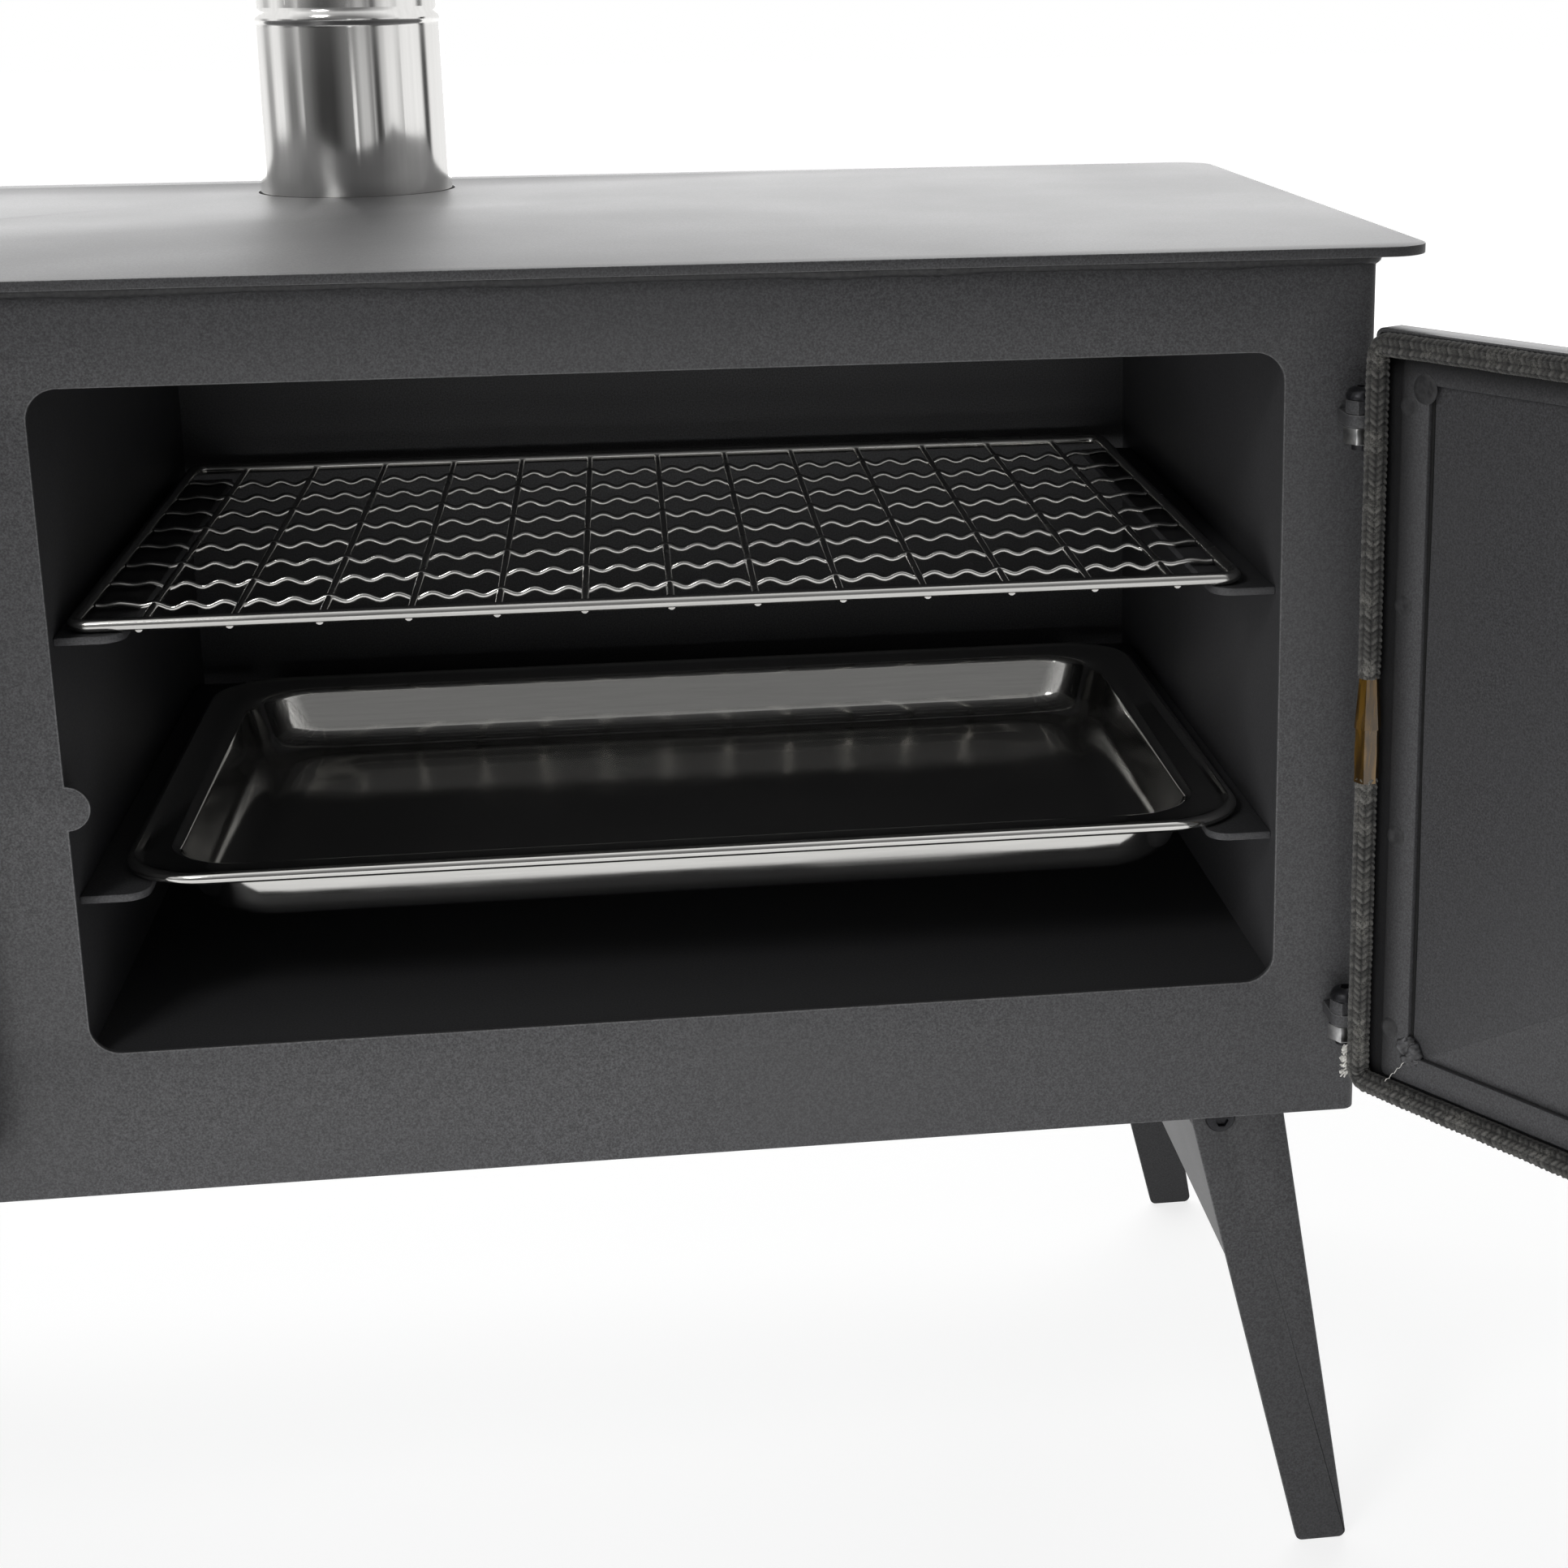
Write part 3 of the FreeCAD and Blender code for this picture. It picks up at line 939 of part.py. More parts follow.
def build_leg_frame(side, hand):
    """One folding leg frame: two tapered legs and the web between them, bent from one sheet."""
    pivot_x = f"({hand} * ({HALF_WIDTH} - Sizes.leg_pivot_inset))"
    pivot_z = f"({BOTTOM} - Sizes.leg_pivot_drop)"
    lean = "((Sizes.leg_foot_inner + Sizes.leg_top_inner) / Sizes.leg_height)"

    def across(reach):
        return f"({pivot_x} + {hand} * ({reach}))"

    def inner_edge(drop):
        return f"(-Sizes.leg_top_inner + {lean} * ({drop}))"

    top = f"({BOTTOM} - Sizes.leg_play)"
    leg = polygon((across("0"), top), (across("Sizes.leg_top_outer"), top),
                  (across("Sizes.leg_foot_outer"), "0"), (across("Sizes.leg_foot_inner"), "0"),
                  (across(inner_edge("Sizes.leg_pivot_drop")), pivot_z))
    bore = circle(pivot_x, pivot_z, "Sizes.bolt_radius + Sizes.bolt_fit")
    sheet_metal = "Sizes.leg_sheet"
    front_face = f"({FRONT} + Sizes.leg_inset)"
    rear_face = f"({REAR} - Sizes.leg_inset - {sheet_metal})"
    frame = extrude("XZ", front_face, sheet_metal, leg, bore)
    web_top = "(Sizes.leg_pivot_drop + Sizes.web_top_drop)"
    web_low = "Sizes.web_bottom_drop"
    pad(frame, "XZ", front_face, f"{rear_face} + {sheet_metal} - {front_face}", polygon(
        (across(inner_edge(web_top)), f"{BOTTOM} - {web_top}"),
        (across(f"{inner_edge(web_top)} + {sheet_metal}"), f"{BOTTOM} - {web_top}"),
        (across(f"{inner_edge(web_low)} + {sheet_metal}"), f"{BOTTOM} - {web_low}"),
        (across(inner_edge(web_low)), f"{BOTTOM} - {web_low}")))
    pad(frame, "XZ", rear_face, sheet_metal, leg, bore)
    soles = (number(across("Sizes.leg_foot_outer")), number(across("Sizes.leg_foot_inner")))

    def foot_corner(edge):
        points = [vertex.Point for vertex in edge.Vertexes]
        if len(points) < 2 or max(abs(point.z) for point in points) > 1e-6:
            return False
        along = abs(points[0].y - points[1].y) > 1e-6
        return along and min(abs(points[0].x - sole) for sole in soles) < 1e-4

    round_edges(frame, "Sizes.leg_foot_corner", foot_corner)
    keep(frame, f"{side}_leg_frame")
    return pivot_x, pivot_z, hand, front_face, rear_face


def build_leg_hardware(pivots):
    """The brackets under the body, with the bolts and nuts that the leg frames fold on."""
    brackets, bolts, nuts = [], [], []
    thick, play, metal = "Sizes.bracket_thickness", "Sizes.leg_play", "Sizes.leg_sheet"
    shank, hole = "Sizes.bolt_radius", "Sizes.bolt_radius + Sizes.bolt_fit"
    arm, foot = "Sizes.bracket_arm", "Sizes.bracket_foot"
    for pivot_x, pivot_z, hand, front_face, rear_face in pivots:
        arm_x = pivot_x if hand > 0 else f"({pivot_x} - {arm})"
        for rear in (False, True):
            # Each bracket stands inside the frame, against the leg's inner face
            near = f"({rear_face} - {play} - {thick})" if rear else f"({front_face} + {metal} + {play})"
            flange = f"({near} - {foot})" if rear else f"({near} + {thick})"
            brackets.append(cut(
                fuse(cylinder(pivot_x, near, pivot_z, "Sizes.bracket_eye", thick, "y"),
                     box(arm_x, near, pivot_z, arm, thick, "Sizes.leg_pivot_drop"),
                     box(arm_x, flange, f"{BOTTOM} - {thick}", arm, foot, thick)),
                cylinder(pivot_x, near, pivot_z, hole, thick, "y")))
            grip = f"({metal} + 2 * {play} + {thick})"
            length = f"({grip} + Sizes.nut_height + Sizes.bolt_tail)"
            if rear:
                head = f"({rear_face} + {metal} + {play})"
                bolts.append(button_bolt(pivot_x, f"{head} - {length}", pivot_z, length, 1, "y"))
                nut_low = f"({near} - Sizes.nut_height)"
            else:
                head = f"({front_face} - {play})"
                bolts.append(button_bolt(pivot_x, f"{head} + {length}", pivot_z, length, -1, "y"))
                nut_low = f"({near} + {thick})"
            nuts.append(cut(hexagon(pivot_x, nut_low, pivot_z, "Sizes.nut_corner", "Sizes.nut_height", "y"),
                            cylinder(pivot_x, nut_low, pivot_z, shank, "Sizes.nut_height", "y")))
    keep(group(*brackets), "leg_brackets")
    keep(group(*bolts), "leg_bolts")
    keep(group(*nuts), "leg_nuts")


def check_document():
    """Stop if anything in the document failed to build."""
    doc.recompute()
    for item in doc.Objects:
        if {"Invalid", "Error"} & set(item.State):
            raise RuntimeError(f"{item.Name} ({item.Label}) did not build: {item.State}")
    for piece in finished:
        if piece.Shape.isNull() or not piece.Shape.isValid() or not piece.Shape.Solids:
            raise RuntimeError(f"{piece.Label} has no valid solid")


def write_pieces():
    """Write each piece to its own file."""
    os.makedirs("parts", exist_ok=True)
    for piece in finished:
        piece.Shape.exportStep(f"parts/{piece.Label}.step")
        print(piece.Label, len(piece.Shape.Solids), round(piece.Shape.Volume, 1))


build_body()
build_flue()
build_oven()
build_rack()
build_tray()
build_doors()
build_firebox()
build_leg_hardware([build_leg_frame("right", 1), build_leg_frame("left", -1)])
check_document()
write_pieces()
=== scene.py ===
"""Looks of the tent stove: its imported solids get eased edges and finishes, and the pieces whose form the
solids leave plain (rope, wire rack, tray, flue, welds, grips) are modelled here in full.

Metres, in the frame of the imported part: origin on the ground under the body, +Z up, doors toward -Y.
"""

import json
import logging
import math
import random
from dataclasses import dataclass
from enum import Enum
from functools import partial
from typing import Callable, Optional, Sequence

import bpy
from mathutils import Matrix, Vector

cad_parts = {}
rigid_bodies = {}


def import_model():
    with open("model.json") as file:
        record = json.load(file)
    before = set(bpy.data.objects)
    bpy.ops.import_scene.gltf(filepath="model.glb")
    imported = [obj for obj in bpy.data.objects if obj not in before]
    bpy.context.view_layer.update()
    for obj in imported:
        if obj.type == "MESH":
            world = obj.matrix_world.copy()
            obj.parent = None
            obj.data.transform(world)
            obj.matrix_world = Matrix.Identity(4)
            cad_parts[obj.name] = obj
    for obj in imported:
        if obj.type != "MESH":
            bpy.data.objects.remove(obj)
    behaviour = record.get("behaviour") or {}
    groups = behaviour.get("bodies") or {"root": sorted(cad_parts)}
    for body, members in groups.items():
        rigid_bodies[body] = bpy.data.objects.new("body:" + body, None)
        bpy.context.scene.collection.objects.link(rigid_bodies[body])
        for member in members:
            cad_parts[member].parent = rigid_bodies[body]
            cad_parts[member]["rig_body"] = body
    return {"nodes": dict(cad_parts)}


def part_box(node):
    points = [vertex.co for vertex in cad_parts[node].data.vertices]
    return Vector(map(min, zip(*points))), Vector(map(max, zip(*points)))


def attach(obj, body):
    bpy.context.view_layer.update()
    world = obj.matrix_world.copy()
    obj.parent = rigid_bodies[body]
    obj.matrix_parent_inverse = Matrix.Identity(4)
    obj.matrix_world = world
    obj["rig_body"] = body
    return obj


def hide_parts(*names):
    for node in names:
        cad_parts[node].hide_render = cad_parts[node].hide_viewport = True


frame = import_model()

MM = 0.001
UP = Vector((0, 0, 1))
SEAM = 1e-6
# Sockets of a Mix node that mixes colours
MIX_SHARE, MIX_ONE, MIX_TWO, MIX_OUT = 0, 6, 7, 2
log = logging.getLogger("tent_stove")

Tree = bpy.types.NodeTree
Node = bpy.types.Node
Socket = bpy.types.NodeSocket
Piece = bpy.types.Object
Triple = tuple[float, float, float]
Relief = Callable[[float, float], tuple[float, float]]


class Hand(Enum):
    """Which way a door runs from its hinge axis when it is closed."""

    TO_RIGHT = 1
    TO_LEFT = -1


class Edge(Enum):
    """How far a cut or pressed edge is eased, in millimetres."""

    FINE = 0.2
    SHEET = 0.4
    PRESSED = 0.7
    PLATE = 0.9


def linear(colour: str) -> tuple[float, float, float, float]:
    """Turn an sRGB hex colour into linear light.

    Args:
        colour: Six hex digits with a leading hash sign.

    Returns:
        Linear red, green and blue, and an alpha of 1.
    """
    shares = [int(colour[place:place + 2], 16) / 255 for place in (1, 3, 5)]
    red, green, blue = (s / 12.92 if s <= 0.04045 else ((s + 0.055) / 1.055) ** 2.4 for s in shares)
    return red, green, blue, 1.0


def per_metre(spacing_mm: float) -> float:
    """Give the texture scale whose features lie a real distance apart."""
    return 1000.0 / spacing_mm


def feed(tree: Tree, node: Node, inputs: dict) -> None:
    """Set or link a node's inputs.

    Args:
        tree: The node tree.
        node: The node.
        inputs: Values or linked sockets, by input name or number.
    """
    for name, value in inputs.items():
        if isinstance(value, Socket):
            tree.links.new(value, node.inputs[name])
        else:
            node.inputs[name].default_value = value


def add_node(tree: Tree, kind: str, settings: Optional[dict] = None, inputs: Optional[dict] = None) -> Node:
    """Add a shader node with its settings, values and links.

    Args:
        tree: The node tree.
        kind: Blender's name for the kind of node, without the ShaderNode that it starts with.
        settings: Values of the node's own properties.
        inputs: Values or linked sockets, by input name or number.

    Returns:
        The new node.
    """
    node = tree.nodes.new(f"ShaderNode{kind}")
    for name, value in (settings or {}).items():
        setattr(node, name, value)
    feed(tree, node, inputs or {})
    return node


def fresh_tree(owner: bpy.types.ID) -> Tree:
    """Empty the node tree of a new material or world.

    Args:
        owner: The material or world.

    Returns:
        Its node tree.
    """
    owner.use_nodes = True
    owner.node_tree.nodes.clear()
    return owner.node_tree


def two_tone(tree: Tree, place: Socket, scale: float, tones: tuple[str, str], span: tuple[float, float],
             detail: float, rough: float = 0.5) -> tuple[Socket, Socket]:
    """Mix two tones by a noise.

    Args:
        tree: The node tree.
        place: Coordinates of the noise.
        scale: Its scale.
        tones: The tones of low and of high noise.
        span: The noise that gives the first and the second tone alone.
        detail: Octaves of the noise.
        rough: Weight of the finer octaves.

    Returns:
        The noise and the mixed colour.
    """
    grain = add_node(tree, "TexNoise", inputs={
        "Vector": place, "Scale": scale, "Detail": detail, "Roughness": rough}).outputs[0]
    share = add_node(tree, "MapRange", inputs={
        "Value": grain, "From Min": span[0], "From Max": span[1]}).outputs[0]
    colour = add_node(tree, "Mix", {"data_type": "RGBA"}, {
        MIX_SHARE: share, MIX_ONE: linear(tones[0]), MIX_TWO: linear(tones[1])}).outputs[MIX_OUT]
    return grain, colour


@dataclass(frozen=True)
class Finish:
    """What every finish has: its name, the record's slot and the plain values of its shader."""

    name: str
    slot: str
    roughness: float = 0.5
    metallic: float = 0.0

    def make(self) -> bpy.types.Material:
        """Build the material once.

        Returns:
            The material, shared by all pieces with this finish.
        """
        found = bpy.data.materials.get(self.name)
        if found:
            return found
        material = bpy.data.materials.new(self.name)
        tree = fresh_tree(material)
        shader = add_node(tree, "BsdfPrincipled", inputs={
            "Roughness": self.roughness, "Metallic": self.metallic})
        add_node(tree, "OutputMaterial", inputs={"Surface": shader.outputs[0]})
        self.dress(tree, shader)
        return material

    def dress(self, tree: Tree, shader: Node) -> None:
        """Add the finish's own pattern to its shader."""
        raise NotImplementedError


@dataclass(frozen=True)
class StovePaint(Finish):
    """Sprayed silicone stove paint on sheet steel: dry and dark, with a fine pebbled grain and faint clouds.

    Painted shade is given as an axis, the distance along it up to which it is darkest, and where it ends.
    """

    dark: str = "#29292a"
    light: str = "#49494b"
    cloud: str = "#3a3a3b"
    grain_mm: float = 0.6
    cloud_mm: float = 90.0
    soot_and_shade: tuple[tuple[Triple, float, float], ...] = ()
    shade_tone: float = 0.22

    def dress(self, tree: Tree, shader: Node) -> None:
        """Mottle the colour with the grain, vary the sheen in clouds, and raise the grain a little.

        Args:
            tree: The material's node tree.
            shader: Its shader.
        """
        place = add_node(tree, "TexCoord").outputs["Object"]
        # Real spray grain is about 0.3 mm; it is drawn coarser so that it shows in the render
        grain, speckled = two_tone(tree, place, per_metre(self.grain_mm), (self.dark, self.light),
                                   span=(0.33, 0.7), detail=2.0, rough=0.6)
        clouds = add_node(tree, "TexNoise", inputs={
            "Vector": place, "Scale": per_metre(self.cloud_mm), "Detail": 3.0}).outputs[0]
        share = add_node(tree, "MapRange", inputs={
            "Value": clouds, "From Min": 0.35, "From Max": 0.7, "To Max": 0.45}).outputs[0]
        colour = add_node(tree, "Mix", {"data_type": "RGBA"}, {
            MIX_SHARE: share, MIX_ONE: speckled, MIX_TWO: linear(self.cloud)}).outputs[MIX_OUT]
        sheen = add_node(tree, "MapRange", inputs={
            "Value": clouds, "From Min": 0.3, "From Max": 0.7,
            "To Min": self.roughness - 0.02, "To Max": self.roughness + 0.03}).outputs[0]
        relief = add_node(tree, "Bump", inputs={
            "Strength": 0.3, "Distance": 0.08 * MM, "Height": grain}).outputs[0]
        # Painted shade: the colour darkens along each given axis, where a door's rope shades the paint
        # beside and under it
        for axis, black, clear in self.soot_and_shade:
            way = add_node(tree, "VectorMath", {"operation": "DOT_PRODUCT"}, {
                0: place, 1: axis}).outputs["Value"]
            unshaded_share = add_node(tree, "MapRange", {"interpolation_type": "SMOOTHSTEP"}, {
                "Value": way, "From Min": black, "From Max": clear, "To Min": self.shade_tone}).outputs[0]
            colour = add_node(tree, "VectorMath", {"operation": "SCALE"}, {
                0: colour, "Scale": unshaded_share}).outputs[0]
        feed(tree, shader, {
            "Base Color": colour, "Roughness": sheen, "Normal": relief, "Specular IOR Level": 0.3})


@dataclass(frozen=True)
class DrawnSteel(Finish):
    """Stainless steel, cold drawn or rolled: bright, with faint drawing lines along one axis."""

    pale: str = "#d9d8d5"
    deep: str = "#b4b3b0"
    line_mm: float = 0.7
    smear_mm: float = 45.0
    stretch: Triple = (0.03, 1.0, 1.0)
    metallic: float = 1.0
    roughness: float = 0.16

    def dress(self, tree: Tree, shader: Node) -> None:
        """Draw the lines into the colour and a very low relief, and smear the sheen.

        Args:
            tree: The material's node tree.
            shader: Its shader.
        """
        place = add_node(tree, "TexCoord").outputs["Object"]
        along = add_node(tree, "Mapping", inputs={"Vector": place, "Scale": self.stretch}).outputs[0]
        lines = add_node(tree, "TexNoise", inputs={
            "Vector": along, "Scale": per_metre(self.line_mm), "Detail": 3.0}).outputs[0]
        smears = add_node(tree, "TexNoise", inputs={
            "Vector": place, "Scale": per_metre(self.smear_mm), "Detail": 2.0}).outputs[0]
        colour = add_node(tree, "Mix", {"data_type": "RGBA"}, {
            MIX_SHARE: lines, MIX_ONE: linear(self.deep), MIX_TWO: linear(self.pale)}).outputs[MIX_OUT]
        sheen = add_node(tree, "MapRange", inputs={
            "Value": smears, "From Min": 0.3, "From Max": 0.7,
            "To Min": self.roughness * 0.7, "To Max": self.roughness * 1.5}).outputs[0]
        relief = add_node(tree, "Bump", inputs={
            "Strength": 0.12, "Distance": 0.03 * MM, "Height": lines}).outputs[0]
        feed(tree, shader, {"Base Color": colour, "Roughness": sheen, "Normal": relief})


@dataclass(frozen=True)
class GlassFibreRope(Finish):
    """Braided glass fibre: matt grey yarn, darkened between the strands by painted shade and frosted pale on
    their crests.
    """

    hollow_shade: str = "#070707"
    crest: str = "#5a5956"
    frost: str = "#807e78"
    thread_mm: float = 0.55
    patch_mm: float = 9.0
    roughness: float = 0.92

    def dress(self, tree: Tree, shader: Node) -> None:
        """Paint shade between the strands by their height, and add single threads and pale broken fibres.

        Args:
            tree: The material's node tree.
            shader: Its shader.
        """
        place = add_node(tree, "TexCoord").outputs["Object"]
        height = add_node(tree, "Attribute", {"attribute_name": "crest"}).outputs["Fac"]
        threads = add_node(tree, "TexNoise", inputs={
            "Vector": place, "Scale": per_metre(self.thread_mm), "Detail": 4.0, "Roughness": 0.7}).outputs[0]
        patches = add_node(tree, "TexNoise", inputs={
            "Vector": place, "Scale": per_metre(self.patch_mm), "Detail": 2.0}).outputs[0]
        # Painted shade: the yarn runs from the dark hollow tone between the stitches to the crest tone on
        # their tops
        shaded_yarn = add_node(tree, "Mix", {"data_type": "RGBA"}, {
            MIX_SHARE: height, MIX_ONE: linear(self.hollow_shade), MIX_TWO: linear(self.crest)}).outputs[MIX_OUT]
        broken = add_node(tree, "Math", {"operation": "MULTIPLY"}, {0: threads, 1: patches}).outputs[0]
        share = add_node(tree, "MapRange", inputs={
            "Value": broken, "From Min": 0.27, "From Max": 0.45, "To Max": 0.5}).outputs[0]
        colour = add_node(tree, "Mix", {"data_type": "RGBA"}, {
            MIX_SHARE: share, MIX_ONE: shaded_yarn, MIX_TWO: linear(self.frost)}).outputs[MIX_OUT]
        relief = add_node(tree, "Bump", inputs={
            "Strength": 0.7, "Distance": 0.4 * MM, "Height": threads}).outputs[0]
        feed(tree, shader, {"Base Color": colour, "Normal": relief, "Sheen Weight": 0.1})


@dataclass(frozen=True)
class FoilTape(Finish):
    """Amber film tape drawn tight over the rope: smooth and glossy, in long brown and brass streaks."""

    brown: str = "#2a1c05"
    brass: str = "#5e4517"
    streak_mm: float = 2.2
    stretch: Triple = (1.0, 1.0, 0.12)
    roughness: float = 0.2
    metallic: float = 0.25

    def dress(self, tree: Tree, shader: Node) -> None:
        """Stretch the streaks along the rope and add the film's gloss.

        Args:
            tree: The material's node tree.
            shader: Its shader.
        """
        place = add_node(tree, "TexCoord").outputs["Object"]
        along = add_node(tree, "Mapping", inputs={"Vector": place, "Scale": self.stretch}).outputs[0]
        _, colour = two_tone(tree, along, per_metre(self.streak_mm), (self.brown, self.brass),
                             span=(0.35, 0.65), detail=3.0)
        feed(tree, shader, {"Base Color": colour, "Coat Weight": 0.8, "Coat Roughness": 0.08})


@dataclass(frozen=True)
class TurnedBeech(Finish):
    """Oiled beech, turned: warm brown with fine dark flecks along the grain."""

    pale: str = "#9a6c3f"
    dark: str = "#5f3c20"
    flecks: float = 2.2
    stretch: Triple = (3.0, 26.0, 1.0)
    roughness: float = 0.48

    def dress(self, tree: Tree, shader: Node) -> None:
        """Stretch the flecks along the grip and raise them.

        Args:
            tree: The material's node tree.
            shader: Its shader.
        """
        place = add_node(tree, "TexCoord").outputs["UV"]
        along = add_node(tree, "Mapping", inputs={"Vector": place, "Scale": self.stretch}).outputs[0]
        grain, colour = two_tone(tree, along, self.flecks, (self.dark, self.pale),
                                 span=(0.35, 0.68), detail=6.0, rough=0.62)
        relief = add_node(tree, "Bump", inputs={
            "Strength": 0.25, "Distance": 0.2 * MM, "Height": grain}).outputs[0]
        feed(tree, shader, {"Base Color": colour, "Normal": relief})


@dataclass(frozen=True)
class CeramicGlass(Finish):
    """Clear ceramic stove glass with a faint warm tint, dulled a little by soot."""

    tint: str = "#efe6d6"
    soot_mm: float = 30.0
    roughness: float = 0.03

    def dress(self, tree: Tree, shader: Node) -> None:
        """Let light through and dull it in soft patches.

        Args:
            tree: The material's node tree.
            shader: Its shader.
        """
        place = add_node(tree, "TexCoord").outputs["Object"]
        soot_and_shade = add_node(tree, "TexNoise", inputs={
            "Vector": place, "Scale": per_metre(self.soot_mm), "Detail": 4.0}).outputs[0]
        dull = add_node(tree, "MapRange", inputs={
            "Value": soot_and_shade, "From Min": 0.45, "From Max": 0.8, "To Min": 0.02, "To Max": 0.22}).outputs[0]
        feed(tree, shader, {
            "Base Color": linear(self.tint), "Roughness": dull, "Transmission Weight": 1.0, "IOR": 1.53})


@dataclass(frozen=True)
class Speckled(Finish):
    """A plain rough stuff of two tones, such as cast iron, pressed fibre or plated steel."""

    one: str = "#2a2a2a"
    two: str = "#3c3b3a"
    grain_mm: float = 1.2
    depth: float = 0.2 * MM

    def dress(self, tree: Tree, shader: Node) -> None:
        """Mix the two tones by the grain and raise it.

        Args:
            tree: The material's node tree.
            shader: Its shader.
        """
        place = add_node(tree, "TexCoord").outputs["Object"]
        grain, colour = two_tone(tree, place, per_metre(self.grain_mm), (self.one, self.two),
                                 span=(0.3, 0.7), detail=5.0)
        relief = add_node(tree, "Bump", inputs={
            "Strength": 0.4, "Distance": self.depth, "Height": grain}).outputs[0]
        feed(tree, shader, {"Base Color": colour, "Normal": relief})


PAINT = StovePaint("stove_paint_sprayed", "painted_steel", roughness=0.46)
# Paler paint on eased edges: partly rubbed wear, partly a painted highlight along each edge
WORN_AND_HIGHLIT_PAINT = StovePaint("stove_paint_worn_and_highlit_edge", "painted_steel", roughness=0.36,
                          dark="#3c3c3d", light="#5e5e5f", cloud="#4d4d4e")
OVEN_PAINT = StovePaint("stove_paint_inside_oven", "oven_steel", roughness=0.47,
                        dark="#2b2b2c", light="#464648", cloud="#373738")
# Darker than the body paint: painted shade under the top plate's edge, shared by the door's spot welds
SHADED_WELD = StovePaint("weld_bead_painted_shade", "painted_steel", roughness=0.42,
                  dark="#1b1b1c", light="#333334", cloud="#272728", grain_mm=1.4)
# Paler weld lumps: the lighter tone is a painted highlight on the lumps
HIGHLIT_WELD = StovePaint("weld_lump_painted_highlight", "painted_steel", roughness=0.33,
                        dark="#232324", light="#575759", cloud="#3b3b3c", grain_mm=1.6)
RACK_STEEL = DrawnSteel("stainless_drawn_wire", "stainless", roughness=0.2)
TRAY_STEEL = DrawnSteel("stainless_drawn_tray", "stainless", roughness=0.1, line_mm=1.1,
                        stretch=(0.05, 1.0, 1.0), pale="#dddcd9", deep="#cccbc8")
FLUE_STEEL = DrawnSteel("stainless_mirror_rolled", "flue_stainless", roughness=0.1, line_mm=2.0,
                        stretch=(1.0, 1.0, 0.02), pale="#efeeec", deep="#dddcda")
ROPE = GlassFibreRope("glass_fibre_braid", "glass_rope")
FRAYED = Speckled("glass_fibre_frayed", "glass_rope", roughness=0.9, one="#8f8e8a", two="#c8c6c1")
TAPE = FoilTape("film_tape_amber", "tape")
BEECH = TurnedBeech("beech_oiled", "grip_wood")
GLASS = CeramicGlass("ceramic_glass", "window")
FIBRE = Speckled("ceramic_fibre_pressed", "fibre", roughness=0.95, one="#b9b5aa", two="#d6d2c8")
IRON = Speckled("cast_iron_raw", "grate_iron", roughness=0.7, metallic=0.3, grain_mm=1.6, depth=0.5 * MM)
BLACK_BOLT = Speckled("steel_black_oxide", "black_bolt", roughness=0.38, metallic=0.6,
                      one="#161617", two="#26262a", grain_mm=0.8, depth=0.04 * MM)
ZINC = Speckled("steel_zinc_plated", "bright_nut", roughness=0.3, metallic=1.0,
                one="#a9a9ab", two="#cfcfcd", grain_mm=2.0, depth=0.03 * MM)
# A black line that stands in for the shadow in the slit beside the door's frame strip
SLIT_SHADOW = Speckled("slit_shadow_painted", "painted_steel", roughness=0.95, one="#050505", two="#0c0c0c")


def deselect() -> None:
    """Leave object mode with nothing selected."""
    if bpy.context.object and bpy.context.object.mode != "OBJECT":
        bpy.ops.object.mode_set(mode="OBJECT")
    bpy.ops.object.select_all(action="DESELECT")


def select_only(piece: Piece) -> None:
    """Make one piece the selected and active one.

    Args:
        piece: The piece.
    """
    deselect()
    piece.select_set(True)
    bpy.context.view_layer.objects.active = piece


def apply_modifiers(piece: Piece) -> None:
    """Apply a piece's modifiers in order.

    Args:
        piece: The piece, which is selected alone.
    """
    select_only(piece)
    for modifier in list(piece.modifiers):
        bpy.ops.object.modifier_apply(modifier=modifier.name)


def shade(angle: float) -> None:
    """Shade the selected piece smooth, apart from edges sharper than an angle in degrees."""
    bpy.ops.object.shade_smooth_by_angle(angle=math.radians(angle))


def settle(piece: Piece, angle: float) -> None:
    """Close seams, turn faces outward and shade the piece smooth up to an angle.

    Args:
        piece: The modelled piece.
        angle: Edges sharper than this many degrees stay sharp.
    """
    select_only(piece)
    bpy.ops.object.mode_set(mode="EDIT")
    bpy.ops.mesh.select_all(action="SELECT")
    bpy.ops.mesh.remove_doubles(threshold=SEAM)
    bpy.ops.mesh.normals_make_consistent(inside=False)
    bpy.ops.object.mode_set(mode="OBJECT")
    shade(angle)


def hand_over(piece: Piece, body: str, finish: Finish, *nodes: str) -> None:
    """Give a piece its finish, its body and the solids it stands for.

    Args:
        piece: The modelled piece.
        body: The body it rides on.
        finish: The finish of its first material slot.
        nodes: Names of the solids that it replaces.
    """
    if not piece.data.materials:
        piece.data.materials.append(finish.make())
    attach(piece, body)
    if nodes:
        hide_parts(*nodes)
    log.info("%s on %s: %d faces", piece.name, body, len(piece.data.polygons))


def paint_node(node: str, finish: Finish) -> None:
    """Show a solid as it is, with a finish in its material slots.

    Args:
        node: Name of the solid.
        finish: Its finish.
    """
    solid = frame["nodes"][node]
    solid.data.materials.clear()
    solid.data.materials.append(finish.make())
    log.info("%s keeps its solid", node)


